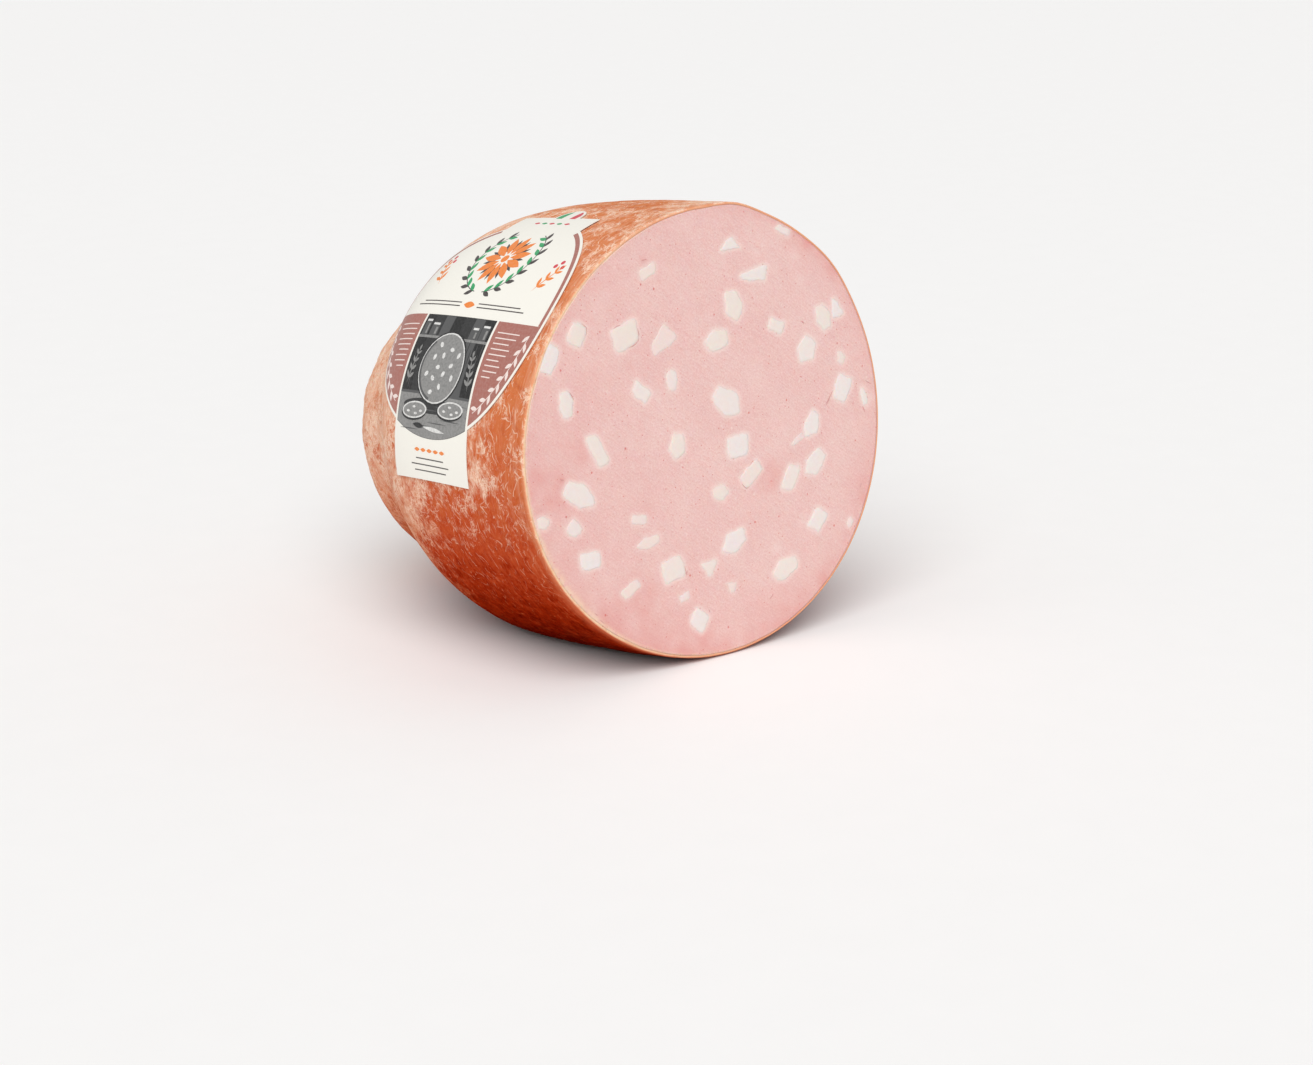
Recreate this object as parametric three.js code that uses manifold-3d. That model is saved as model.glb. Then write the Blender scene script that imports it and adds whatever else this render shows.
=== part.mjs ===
// Half of a large mortadella, cut across and resting on its belly, with a paper label round its side.
// Millimetres, +Z up. The cut faces -Y, and +X lies to the right of someone who looks at it.
// The origin is the middle of the base of its bounding box.

import * as THREE from "three";
import { mergeVertices } from "three/addons/utils/BufferGeometryUtils.js";
import { TessellateModifier } from "three/addons/modifiers/TessellateModifier.js";
import Module from "manifold-3d";

const degrees = THREE.MathUtils.degToRad;

// The cut: its mean radius, the height of its middle, and how far its face leans back
const CUT_RADIUS = 107.5;
const CUT_HEIGHT = 107;
const CUT_LEAN = degrees(5.7);

// The axis: its length from the cut to the rear tip, its fall towards the rear, the share of its length by
// which the sections stand square to it, and its bend by the tip
const LENGTH = 214.6;
const AXIS_FALL = degrees(9.1);
const SQUARE_BY = 0.3;
const BEND_SIDE = -17.9;
const BEND_UP = 7;

// The casing's profile: a blunt end, a full belly, a waist before the end and a drawn-in end cap
const END_POWER = 5;
const END_ROOT = 1.7;
const BELLY = { height: 6.9, at: 73.5, width: 105.6 };
const CAP = { height: -3.2, at: 183, width: 14.5 };
const WAIST = { depth: 13.8, at: 149.5, width: 26.9, power: 2.24 };

// The waist lies further back and is shallower towards the top
const WAIST_SLANT = 9.7;
const WAIST_UNEVEN = 0.2;
const WAIST_TOP = degrees(84);

// The section is slightly three-sided, with two soft corners near the top that fade behind the cut
const THREE_SIDED = { height: 1.1, at: degrees(69) };
const OFF_ROUND = { height: 0.5, at: degrees(45) };
const CORNERS = [
  { height: 1.6, at: degrees(78), width: degrees(7) },
  { height: 1.0, at: degrees(42), width: degrees(9) },
];

// The belly is pressed flat by its own weight, over a band of heights that widens behind the cut
const PRESS_AT_CUT = 0.5;
const PRESS_BELLY = 6.5;
const PRESS_GROWTH = 0.2;

// The gathered end: pleats that run in to a small knob, whose foot, neck, bulge and crown are shares of its
// radius, and the bulge and the crown lie at shares of its height
const PLEATS = 18;
const PLEAT_DEPTH = 1.6;
const PLEATS_FROM = 165;
const KNOB_RADIUS = 8;
const KNOB_HEIGHT = 7;
const KNOB = { foot: 0.8, neck: 0.62, bulge: 1.25, crown: 0.7, bulgeAt: 0.4, crownAt: 0.9 };

// The casing stands slightly proud of the paste round the cut
const CASING_WIDTH = 1.2;
const PASTE_SUNK = 0.35;
const RIM_ROUNDING = 0.4;
const RIM_SLOPE = 0.3;

// Cubes of fat in the cut, a little proud of the paste, with blunted corners that are a little uneven
const FAT_PROUD = 0.55;
const FAT_DEPTH = 2;
const FAT_BLUNTING = 0.12;
const FAT_UNEVEN_TURN = 0.12;
const FAT_UNEVEN_REACH = 0.07;

// Each cube: place across and up from the cut's middle, length, width, turn in degrees, how many corners, and
// how much it narrows along its length
const FAT_CUBES = [
  [-46, 54, 16, 13, 17, 4, 0], [11, 15, 18, 12, 140, 5, 0], [-78, -15, 19, 10, 148, 5, 0],
  [-66, 4, 18, 8, 116, 4, 0], [74, 47, 13, 9, 113, 6, 0], [82, 51, 11, 6, 108, 4, 0.7],
  [16, -7, 15, 12, 4, 4, 0], [-89, 49, 15, 8, 60, 4, 0], [-27, -60, 14, 12, 10, 4, 0],
  [-13, -87, 12, 10, 140, 4, 0], [64, -52, 13, 10, 50, 4, 0], [64, -23, 15, 10, 40, 5, 0],
  [18, 60, 15, 10, 105, 5, 0], [84, 11, 13, 11, 60, 4, 0], [48, -28, 15, 9, 60, 4, 0],
  [7, 45, 15, 10, 8, 5, 0], [11, -53, 15, 10, 22, 5, 0], [24, -22, 15, 9, 33, 4, 0],
  [-20, -1, 12, 10, 80, 5, 0], [31, 73, 18, 6, 2, 4, -0.6], [-39, 27, 13, 7, 138, 4, 0.1],
  [-73, 58, 11, 10, 65, 4, 0], [42, -72, 16, 10, 15, 5, 0], [62, 33, 12, 12, 60, 5, 0],
  [-25, 49, 16, 9, 37, 4, -0.4], [-74, -46, 13, 9, 177, 4, 0], [63, -4, 13, 9, 55, 5, 0],
  [-82, 28, 13, 8, 97, 6, 0], [4, -28, 10, 7, 172, 5, 0], [-52, -64, 13, 6, 25, 4, 0],
  [44, 47, 10, 7, 155, 4, 0], [-31, 82, 11, 6, 22, 4, 0], [-21, 30, 10, 7, 88, 6, 0],
  [-5, -63, 8, 7, 270, 4, 0.7], [18, 89, 6, 9, 90, 4, 0.6], [-82, -30, 9, 7, 133, 4, 0],
  [-40, -44, 13, 6, 8, 5, 0], [-45, -32, 10, 5, 168, 4, 0], [84, 26, 7, 5, 100, 5, 0],
  [8, -75, 6, 5, 270, 4, 0.5], [-99, -24, 7, 6, 110, 5, 0], [98, 5, 9, 4, 100, 6, 0],
  [51, 92, 10, 4, 151, 4, 0], [-21, -74, 8, 4, 15, 4, 0], [54, -10, 10, 3, 26, 4, -0.4],
  [85, -57, 6, 4, 46, 4, 0],
];

// The label: a strip across a disc, with a round tab on top; its anchor is its middle on the casing
const LABEL_BEHIND_CUT = 70.3;
const LABEL_ANGLE = degrees(143.3);
const LABEL_TURN = degrees(3);
const STRIP_WIDTH = 60;
const STRIP_ABOVE = 74;
const STRIP_BELOW = 77;
const DISC_RADIUS = 63.5;
const DISC_ABOVE = 6;
const TAB_RADIUS = 9.3;
const TAB_AHEAD = 4.8;
const PAPER_THICKNESS = 0.5;
const PAPER_GAP = 0.35;

// How finely the surfaces are divided
const SIDES = 72;
const RINGS = 28;
const CROWDING = 1.6;
const CURVE_SEGMENTS = 14;
const KNOB_SEGMENTS = 4;
const LABEL_EDGE = 12;
const LABEL_SPLITS = 8;
const NORMAL_STEP = 0.5;
const MERGE_WITHIN = 1e-4;

// The steps in which the casing is paced off for the label, and the share of its length that they cover
const PACE = 0.5;
const PACED_SHARE = 0.95;

// Colours
const CASING_COLOUR = 0xc9663f;
const PAPER_COLOUR = 0xf3efe6;

const wasm = await Module();
wasm.setup();

function bump({ height, at, width }, place) {
  return height * Math.exp(-(((place - at) / width) ** 2));
}

// Angle from one direction to another, between minus and plus half a turn
function angleBetween(angle, from) {
  return Math.atan2(Math.sin(angle - from), Math.cos(angle - from));
}

// What the section adds to a true circle at an angle: 0 is +X, a quarter turn is the top
function sectionRelief(angle, behind) {
  const fade = Math.exp(-behind / LENGTH);
  const sides = THREE_SIDED.height * Math.cos(3 * (angle - THREE_SIDED.at));
  const round = OFF_ROUND.height * Math.cos(angle - OFF_ROUND.at);
  const corners = CORNERS.map((corner) => bump({ ...corner, at: 0 }, angleBetween(angle, corner.at)));
  return sides + round + fade * corners.reduce((sum, height) => sum + height, 0);
}

function waistDepth(behind, angle) {
  const at = WAIST.at + WAIST_SLANT * Math.cos(angle - WAIST_TOP);
  const depth = WAIST.depth * (1 - WAIST_UNEVEN * Math.cos(angle - WAIST_TOP));
  return depth * Math.exp(-(Math.abs((behind - at) / WAIST.width) ** WAIST.power));
}

function pleatRelief(behind, angle) {
  const deep = THREE.MathUtils.smoothstep(behind, PLEATS_FROM, LENGTH);
  return PLEAT_DEPTH * deep * Math.cos(PLEATS * angle);
}

// The casing's radius at a distance behind the cut, at an angle round the section
function casingRadius(behind, angle) {
  const blunt = Math.max(0, 1 - (behind / LENGTH) ** END_POWER) ** (1 / END_ROOT);
  const belly = bump(BELLY, behind) - bump(BELLY, 0);
  const cap = bump(CAP, behind);
  const swell = CUT_RADIUS * blunt + belly + cap - waistDepth(behind, angle);
  const relief = (swell / CUT_RADIUS) * sectionRelief(angle, behind) + blunt * pleatRelief(behind, angle);
  return Math.max(0, swell + relief);
}

// The ground presses the belly up smoothly, and dead flat where it would reach below the band
function pressed(height, behind) {
  const band = Math.min(PRESS_BELLY, PRESS_AT_CUT + PRESS_GROWTH * behind);
  if (height >= band) {
    return height;
  }
  return height <= -band ? 0 : (height + band) ** 2 / (4 * band);
}

// A point on the casing, or inside it at a share of its radius
function casingPoint(behind, angle, share = 1) {
  const along = behind / LENGTH;
  const lean = THREE.MathUtils.lerp(CUT_LEAN, AXIS_FALL, THREE.MathUtils.smoothstep(along, 0, SQUARE_BY));
  const up = new THREE.Vector3(0, Math.sin(lean), Math.cos(lean));
  const radius = share * casingRadius(behind, angle);
  const point = new THREE.Vector3(0, behind * Math.cos(AXIS_FALL), CUT_HEIGHT - behind * Math.sin(AXIS_FALL));
  point.x += BEND_SIDE * along ** 2 + radius * Math.cos(angle);
  point.addScaledVector(up, BEND_UP * along ** 2 + radius * Math.sin(angle));
  point.z = pressed(point.z, behind);
  return point;
}

function casingNormal(behind, angle) {
  const turn = NORMAL_STEP / CUT_RADIUS;
  const ahead = casingPoint(behind - NORMAL_STEP, angle);
  const backward = casingPoint(behind + NORMAL_STEP, angle).sub(ahead);
  const round = casingPoint(behind, angle + turn).sub(casingPoint(behind, angle - turn));
  return backward.cross(round).normalize();
}

// Merges shared vertices and drops the empty triangles where a ring closes to a point
function sealed(geometry) {
  const bare = geometry.clone();
  bare.deleteAttribute("normal");
  bare.deleteAttribute("uv");
  const merged = mergeVertices(bare, MERGE_WITHIN);
  const kept = [];
  for (let i = 0; i < merged.index.count; i += 3) {
    const [a, b, c] = [0, 1, 2].map((corner) => merged.index.getX(i + corner));
    if (a !== b && b !== c && c !== a) {
      kept.push(a, b, c);
    }
  }
  merged.setIndex(kept);
  return merged;
}

function toSolid(geometry) {
  const shell = sealed(geometry);
  const vertProperties = Float32Array.from(shell.attributes.position.array);
  const triVerts = Uint32Array.from(shell.index.array);
  return new wasm.Manifold(new wasm.Mesh({ numProp: 3, vertProperties, triVerts }));
}

function toGeometry(solid) {
  const { vertProperties, triVerts } = solid.getMesh();
  const geometry = new THREE.BufferGeometry();
  geometry.setAttribute("position", new THREE.BufferAttribute(vertProperties, 3));
  geometry.setIndex(new THREE.BufferAttribute(triVerts, 1));
  geometry.computeVertexNormals();
  return geometry;
}

// Moves every vertex of a geometry to the place that the function gives for it
function reshape(geometry, place) {
  const position = geometry.attributes.position;
  for (let i = 0; i < position.count; i += 1) {
    const moved = place(new THREE.Vector3().fromBufferAttribute(position, i));
    position.setXYZ(i, moved.x, moved.y, moved.z);
  }
  return geometry;
}

// The face, the casing's rim and the casing are turned as one straight lathe, then bent to the real shape.
// Its profile holds a share of the casing's radius and a distance behind the cut.
function meatGeometry() {
  const inner = 1 - CASING_WIDTH / CUT_RADIUS;
  const profile = [
    new THREE.Vector2(0, PASTE_SUNK),
    new THREE.Vector2(inner - RIM_SLOPE / CUT_RADIUS, PASTE_SUNK),
    new THREE.Vector2(inner, 0),
    new THREE.Vector2(1 - RIM_ROUNDING / CUT_RADIUS, 0),
  ];
  for (let ring = 0; ring < RINGS; ring += 1) {
    const left = (1 - ring / RINGS) ** CROWDING;
    profile.push(new THREE.Vector2(1, LENGTH - (LENGTH - RIM_ROUNDING) * left));
  }
  profile.push(new THREE.Vector2(0, LENGTH));
  const lathe = new THREE.LatheGeometry(profile, SIDES);
  return reshape(lathe, ({ x, y, z }) => casingPoint(y, Math.atan2(z, x), Math.hypot(x, z)));
}

// The knob where the casing is drawn together, along the axis at the rear tip
function knobGeometry() {
  const bulge = new THREE.Vector2(KNOB_RADIUS * KNOB.bulge, KNOB_HEIGHT * KNOB.bulgeAt);
  const crown = new THREE.Vector2(KNOB_RADIUS * KNOB.crown, KNOB_HEIGHT * KNOB.crownAt);
  const profile = new THREE.Path();
  profile.moveTo(0, -KNOB_RADIUS);
  profile.lineTo(KNOB_RADIUS * KNOB.foot, -KNOB_RADIUS);
  profile.lineTo(KNOB_RADIUS * KNOB.neck, 0);
  profile.quadraticCurveTo(bulge.x, bulge.y, crown.x, crown.y);
  profile.lineTo(0, KNOB_HEIGHT);
  const knob = new THREE.LatheGeometry(profile.getPoints(KNOB_SEGMENTS), PLEATS);
  knob.rotateX(-AXIS_FALL);
  const tip = casingPoint(LENGTH, 0, 0);
  return knob.translate(tip.x, tip.y, tip.z);
}

// A repeatable draw between minus one and one
function makeDraw(seed) {
  let state = seed;
  return () => {
    state = (state * 1664525 + 1013904223) % 4294967296;
    return state / 2147483648 - 1;
  };
}

// A cube of fat as the knife leaves it: an uneven outline with blunted corners, as large as the oval that
// its length and width give
function fatOutline([across, up, length, width, turn, corners, taper], draw) {
  const points = [];
  const step = (2 * Math.PI) / corners;
  const wedges = Math.sin(2 * FAT_BLUNTING) + Math.sin(step - 2 * FAT_BLUNTING);
  const fill = Math.sqrt((2 * Math.PI) / (corners * wedges));
  for (let corner = 0; corner < corners; corner += 1) {
    const middle = (corner + 0.5) * step + FAT_UNEVEN_TURN * draw();
    const reach = fill * (1 + FAT_UNEVEN_REACH * draw());
    for (const angle of [middle - FAT_BLUNTING, middle + FAT_BLUNTING]) {
      const along = reach * Math.cos(angle);
      const aside = reach * Math.sin(angle) * (1 - taper * along);
      const point = new THREE.Vector2((length / 2) * along, (width / 2) * aside);
      points.push(point.rotateAround(new THREE.Vector2(), degrees(turn)).add(new THREE.Vector2(across, up)));
    }
  }
  return points;
}

function fatGeometry(cube, draw) {
  const shape = new THREE.Shape(fatOutline(cube, draw));
  const geometry = new THREE.ExtrudeGeometry(shape, { depth: FAT_DEPTH, bevelEnabled: false });
  geometry.translate(0, 0, FAT_PROUD - FAT_DEPTH - PASTE_SUNK);
  geometry.rotateX(Math.PI / 2 - CUT_LEAN);
  return geometry.translate(0, 0, CUT_HEIGHT);
}

function makeMeat() {
  const draw = makeDraw(7);
  let solid = toSolid(meatGeometry()).add(toSolid(knobGeometry()));
  for (const cube of FAT_CUBES) {
    solid = solid.add(toSolid(fatGeometry(cube, draw)));
  }
  const material = new THREE.MeshStandardMaterial({ color: CASING_COLOUR, roughness: 0.5, metalness: 0 });
  const mesh = new THREE.Mesh(toGeometry(solid), material);
  mesh.name = "mortadella";
  return mesh;
}

// The label laid flat: x runs backward along the casing, y runs down round it, from the anchor
function labelOutline() {
  const half = STRIP_WIDTH / 2;
  const meets = Math.acos(half / DISC_RADIUS);
  const shape = new THREE.Shape();
  shape.moveTo(-half, -STRIP_ABOVE);
  shape.lineTo(-TAB_AHEAD - TAB_RADIUS, -STRIP_ABOVE);
  shape.absarc(-TAB_AHEAD, -STRIP_ABOVE, TAB_RADIUS, Math.PI, 2 * Math.PI, false);
  shape.lineTo(half, -STRIP_ABOVE);
  shape.absarc(0, -DISC_ABOVE, DISC_RADIUS, -meets, meets, false);
  shape.lineTo(half, STRIP_BELOW);
  shape.lineTo(-half, STRIP_BELOW);
  shape.absarc(0, -DISC_ABOVE, DISC_RADIUS, Math.PI - meets, Math.PI + meets, false);
  shape.closePath();
  return shape;
}

// Distances behind the cut that lie one pace apart along the casing's surface, at the label's angle
function paceCasing() {
  const paces = [0];
  while (paces.at(-1) < LENGTH * PACED_SHARE) {
    const behind = paces.at(-1);
    const ahead = casingPoint(behind + PACE, LABEL_ANGLE);
    const walked = ahead.distanceTo(casingPoint(behind, LABEL_ANGLE));
    paces.push(behind + (PACE * PACE) / walked);
  }
  return (distance) => paces[Math.round(distance / PACE)];
}

// Wraps the flat label round the casing, a small gap above it
function wrapLabel(geometry) {
  const behindAt = paceCasing();
  return reshape(geometry, ({ x, y, z }) => {
    const backward = x * Math.cos(LABEL_TURN) + y * Math.sin(LABEL_TURN);
    const down = y * Math.cos(LABEL_TURN) - x * Math.sin(LABEL_TURN);
    const behind = behindAt(LABEL_BEHIND_CUT + backward);
    const angle = LABEL_ANGLE + down / casingRadius(behind, LABEL_ANGLE);
    return casingPoint(behind, angle).addScaledVector(casingNormal(behind, angle), PAPER_GAP + z);
  });
}

function makeLabel() {
  const options = { depth: PAPER_THICKNESS, bevelEnabled: false, curveSegments: CURVE_SEGMENTS };
  const flat = new THREE.ExtrudeGeometry(labelOutline(), options);
  const divided = new TessellateModifier(LABEL_EDGE, LABEL_SPLITS).modify(flat);
  const material = new THREE.MeshStandardMaterial({ color: PAPER_COLOUR, roughness: 0.45, metalness: 0 });
  const geometry = sealed(wrapLabel(divided));
  geometry.computeVertexNormals();
  const mesh = new THREE.Mesh(geometry, material);
  mesh.name = "label";
  return mesh;
}

const group = new THREE.Group();
group.add(makeMeat(), makeLabel());

const box = new THREE.Box3().setFromObject(group);
const middle = box.getCenter(new THREE.Vector3());
group.position.set(-middle.x, -middle.y, -box.min.z);

export default group;
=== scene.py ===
# The looks of half a mortadella: casing, cut paste with cubes of fat, and a paper label.
# Shapes are worked out in millimetres, +Z up, with the cut facing -Y and its middle over the point (0, 0).
# The casing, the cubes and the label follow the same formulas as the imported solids, more finely divided.

import math

import bmesh
import bpy
import numpy as np
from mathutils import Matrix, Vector, noise
from mathutils.geometry import delaunay_2d_cdt


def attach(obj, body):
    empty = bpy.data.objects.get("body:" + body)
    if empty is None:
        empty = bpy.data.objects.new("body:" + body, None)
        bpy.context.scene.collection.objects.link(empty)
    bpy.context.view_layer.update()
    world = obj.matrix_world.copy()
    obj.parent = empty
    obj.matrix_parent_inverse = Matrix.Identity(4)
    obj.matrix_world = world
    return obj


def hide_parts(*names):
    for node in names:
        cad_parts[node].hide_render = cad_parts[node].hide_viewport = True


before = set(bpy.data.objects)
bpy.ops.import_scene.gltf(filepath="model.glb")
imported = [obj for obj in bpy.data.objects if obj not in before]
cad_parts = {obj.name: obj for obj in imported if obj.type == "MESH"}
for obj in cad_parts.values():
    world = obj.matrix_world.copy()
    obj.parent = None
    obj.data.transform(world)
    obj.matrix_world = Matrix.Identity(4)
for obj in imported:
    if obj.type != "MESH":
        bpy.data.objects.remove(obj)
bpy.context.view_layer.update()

METRE = 0.001

# From the frame of these formulas to the shared one
SHIFT = np.array([2.767, -104.780, 0.0])

# The cut and the axis
CUT_RADIUS = 107.5
CUT_HEIGHT = 107.0
CUT_LEAN = math.radians(5.7)
LENGTH = 214.6
AXIS_FALL = math.radians(9.1)
AXIS_TURNS_BY = 0.3
BEND_SIDE = -17.9
BEND_UP = 7.0

# The casing's profile: height, place and width of each swell or waist
END_POWER = 5
END_ROOT = 1.7
BELLY = (6.9, 73.5, 105.6)
CAP = (-3.2, 183.0, 14.5)
WAIST = (13.8, 149.5, 26.9)
WAIST_POWER = 2.24
WAIST_SLANT = 9.7
WAIST_UNEVEN = 0.2
WAIST_TOP = math.radians(84)

# The section: three soft sides, a little out of round, and two corners near the top
THREE_SIDED = (1.1, math.radians(69))
OFF_ROUND = (0.5, math.radians(45))
CORNERS = [(1.6, math.radians(78), math.radians(7)), (1.0, math.radians(42), math.radians(9))]

# The pressed belly
PRESS_AT_CUT = 0.5
PRESS_BELLY = 6.5
PRESS_GROWTH = 0.2

# The gathered end
PLEATS = 18
PLEAT_DEPTH = 1.6
PLEATS_FROM = 165.0
KNOB_RADIUS = 8.0
KNOB_HEIGHT = 7.0

# Where round the casing a pale patch lies, where its cut edge is creamy (partly its own colour and partly a
# painted highlight), where the paste's creamy rim is widest, and where the paste's upper rim is rosy
PALE_PATCH_TURN = math.radians(171)
CREAMY_TURN = math.radians(195)
CREAM_WIDEST = math.radians(214)
ROSY_RIM_TURN = 0.9

# The casing's cut edge, widest on one side, and the paste and the cubes of fat in it
CASING_WIDTH = 1.2
EDGE_UNEVEN = 0.35
EDGE_WIDEST = math.radians(175)
PASTE_SUNK = 0.35
PASTE_DEPTH = 3.0
FAT_PROUD = 0.3
FAT_DEPTH = 1.5

# A cube's outline: how blunt and uneven its corners are, and how much it grows again after it's rounded
FAT_BLUNTING = 0.12
FAT_UNEVEN_TURN = 0.12
FAT_UNEVEN_REACH = 0.07
FAT_REGROWTH = 1.04

# Each cube of fat in the cut: place across and up from its middle, length, width, turn in degrees, how many
# corners, and how much it narrows along its length
FAT_CUBES = [
    (-46, 54, 16, 13, 17, 4, 0), (11, 15, 18, 12, 140, 5, 0), (-78, -15, 19, 10, 148, 5, 0),
    (-66, 4, 18, 8, 116, 4, 0), (74, 47, 13, 9, 113, 6, 0), (82, 51, 11, 6, 108, 4, 0.7),
    (16, -7, 15, 12, 4, 4, 0), (-89, 49, 15, 8, 60, 4, 0), (-27, -60, 14, 12, 10, 4, 0),
    (-13, -87, 12, 10, 140, 4, 0), (64, -52, 13, 10, 50, 4, 0), (64, -23, 15, 10, 40, 5, 0),
    (18, 60, 15, 10, 105, 5, 0), (84, 11, 13, 11, 60, 4, 0), (48, -28, 15, 9, 60, 4, 0),
    (7, 45, 15, 10, 8, 5, 0), (11, -53, 15, 10, 22, 5, 0), (24, -22, 15, 9, 33, 4, 0),
    (-20, -1, 12, 10, 80, 5, 0), (31, 73, 18, 6, 2, 4, -0.6), (-39, 27, 13, 7, 138, 4, 0.1),
    (-73, 58, 11, 10, 65, 4, 0), (42, -72, 16, 10, 15, 5, 0), (62, 33, 12, 12, 60, 5, 0),
    (-25, 49, 16, 9, 37, 4, -0.4), (-74, -46, 13, 9, 177, 4, 0), (63, -4, 13, 9, 55, 5, 0),
    (-82, 28, 13, 8, 97, 6, 0), (4, -28, 10, 7, 172, 5, 0), (-52, -64, 13, 6, 25, 4, 0),
    (44, 47, 10, 7, 155, 4, 0), (-31, 82, 11, 6, 22, 4, 0), (-21, 30, 10, 7, 88, 6, 0),
    (-5, -63, 8, 7, 270, 4, 0.7), (18, 89, 6, 9, 90, 4, 0.6), (-82, -30, 9, 7, 133, 4, 0),
    (-40, -44, 13, 6, 8, 5, 0), (-45, -32, 10, 5, 168, 4, 0), (84, 26, 7, 5, 100, 5, 0),
    (8, -75, 6, 5, 270, 4, 0.5), (-99, -24, 7, 6, 110, 5, 0), (98, 5, 9, 4, 100, 6, 0),
    (51, 92, 10, 4, 151, 4, 0), (-21, -74, 8, 4, 15, 4, 0), (54, -10, 10, 3, 26, 4, -0.4),
    (85, -57, 6, 4, 46, 4, 0),
]

# How deep a cube lies under the cut, from 0 to 1, for those that show through a film of paste
FAT_VEILED = {
    24: 0.55, 31: 0.35, 29: 0.45, 36: 0.45, 37: 0.35, 32: 0.3, 43: 0.5, 42: 0.25, 39: 0.4, 33: 0.15, 44: 0.6,
    45: 0.35, 28: 0.15, 38: 0.25, 35: 0.2, 17: 0.2, 40: 0.15,
}

# Fat that lies under the paste and only pales it: place across and up, reach, strength
PALE_SPOTS = [
    (36.5, -61, 3, 0.45), (-47, 4, 3.5, 0.35), (59.5, 67, 4, 0.4), (57.5, 79, 2.2, 0.35), (54.5, -51, 3, 0.4),
    (-60, 68, 8, 0.25), (-46.6, -7, 1.5, 0.35), (-12, 66, 5, 0.2), (-64, -58, 4, 0.2), (44, 75, 3, 0.3),
    (-58.5, 29.6, 1.5, 0.4), (-29.6, 22, 1.8, 0.4), (33, 83, 3, 0.25), (29, 31, 9, 0.12), (-12, -36, 8, 0.12),
    (102, 3.5, 3.5, 0.6),
]

# Paste that is rosier than the rest, or paler: place across and up, reach, strength
ROSY_SPOTS = [
    (35, -25, 8, 0.6), (-90, -12, 9, 0.4), (-77, 5, 7, 0.4), (-45, -71, 11, 0.35), (-69, -76, 8, 0.5),
    (-100, -4, 8, 0.25), (82, 70, 6, 0.3), (64, 87, 6, 0.3), (-39, -28, 4, 0.35), (96, -45, 9, 0.25),
    (-40, -95, 16, 0.3), (40, -97, 16, 0.3), (-33, 87, 2.2, 0.45), (-87, -6, 1.6, 0.6), (0, 0, 34, -0.15),
    (-14, -99, 12, 0.35), (79, 60, 14, -0.12), (70, -81, 9, 0.3),
]

# Gaps where the paste has shrunk from a cube, drawn as darker strips of painted shade: which cube, towards
# which angle, over what angle, in degrees
FAT_GAPS = [(0, 318, 62), (0, 130, 34), (0, 5, 30), (21, 25, 70), (27, 42, 50), (17, 232, 44), (8, 345, 26)]

# Marks that the knife left, drawn as darker strips of painted shade in each nick: place of the middle across
# and up, heading in degrees, length and width. Its smears all run one way.
KNIFE_MARKS = [
    (75.5, 7.6, 50, 8, 0.45), (74.2, 5.4, 48, 5, 0.35), (38.6, 75.8, -48, 5, 0.5), (93.4, -39.5, 62, 3, 0.4),
    (32.2, -84.4, 40, 3, 0.6), (-19, -62.6, 70, 2.6, 0.5), (-6.8, -83.6, 115, 2.2, 0.4),
    (60.6, 46.6, -40, 2.2, 0.7), (-33, 87.3, 8, 3, 0.5), (-87, -6.2, 165, 2.4, 0.5), (-70, -76, -40, 4, 0.4),
    (-73, -72, -42, 3, 0.4), (101.2, 11.4, -32, 5, 0.4), (97.6, -1.6, -66, 4, 0.5),
    (99.6, 5.2, -58, 4.5, 0.3),
]
SMEARS_TURN = math.radians(38)

# The label: a strip across a disc, with a round tab on top
LABEL_BEHIND_CUT = 70.3
LABEL_ANGLE = math.radians(143.3)
LABEL_TURN = math.radians(3)
STRIP_WIDTH = 60.0
STRIP_ABOVE = 74.0
STRIP_BELOW = 77.0
DISC_RADIUS = 63.5
DISC_ABOVE = 6.0
DISC_MIDDLE = (0, -DISC_ABOVE)
TAB_RADIUS = 9.3
TAB_AHEAD = 4.8
PAPER_BASE = 0.4
PAPER_TOP = 0.7
INK_HEIGHT = 0.03
INK_SUNK = 0.05

# The print: the line under its upper half, half the picture's width, where the fields beside the picture
# start, the bare border, the ring inside it, and the shelf and the table's edge in the picture
BAND_LINE = -2.0
PANEL_HALF = 28.4
FIELD_START = 30.0
BORDER = 1.4
RING_WIDTH = 2.2
SHELF = 9.0
TABLE_EDGE = 37.0
INKS = {
    "rose": "A4665A", "pale_rose": "EBD9D2", "ink": "3A3130", "orange": "E87F27", "green": "1E9A5B",
    "red": "CF3A47", "grey_deep": "101010", "grey_dark": "272727", "grey_mid": "545454",
    "grey_light": "8F8E8C", "grey_pale": "E4E3E0",
}

# How finely the surfaces are divided
CASING_SIDES = 480
CASING_RINGS = 230
KNOB_SIDES = 180
PASTE_SIDES = 480
PASTE_RINGS = 130
PAPER_GRID = 3.0

# The bare casing's colour from its top, 0, round to its foot, 1, the colour of the milky veil on it, and the
# colour of the film of paste on fat. Casing and veil darken towards the foot, partly their own deeper red and
# partly painted shade.
CASING_TONES_WITH_SHADE = [
    (0.0, "D17E52"), (0.3, "CB7244"), (0.46, "C8663B"), (0.63, "BE4D28"), (0.71, "B03D1B"), (0.79, "982708"),
    (0.86, "801A04"), (0.92, "640C02"), (1.0, "4E0702"),
]
VEIL_TONES_WITH_SHADE = [
    (0.0, "ECC4AA"), (0.5, "E9B99D"), (0.66, "DA8C64"), (0.8, "B8562F"), (0.92, "842A0C"), (1.0, "601402"),
]
FILM = "EBD6CF"

# The camera, where the photograph was taken from, and its frame
CAMERA_PLACE = np.array([-722.1, -886.3, 406.7])
CAMERA_LOOKS = Vector((0.5875, 0.7552, -0.2905))
CAMERA_LENS = 68.55
SENSOR_WIDTH = 36.0

# The floor's width in metres, the studio's even light, and its key from the upper left
FLOOR_WIDTH = 120.0
STUDIO_STRENGTH = 0.5
KEY_FROM = Vector((-0.42, -0.5, 0.76))
KEY_STRENGTH = 2.3
KEY_WIDTH = math.radians(55)


# Smooth steps, hills, noise and places

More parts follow.
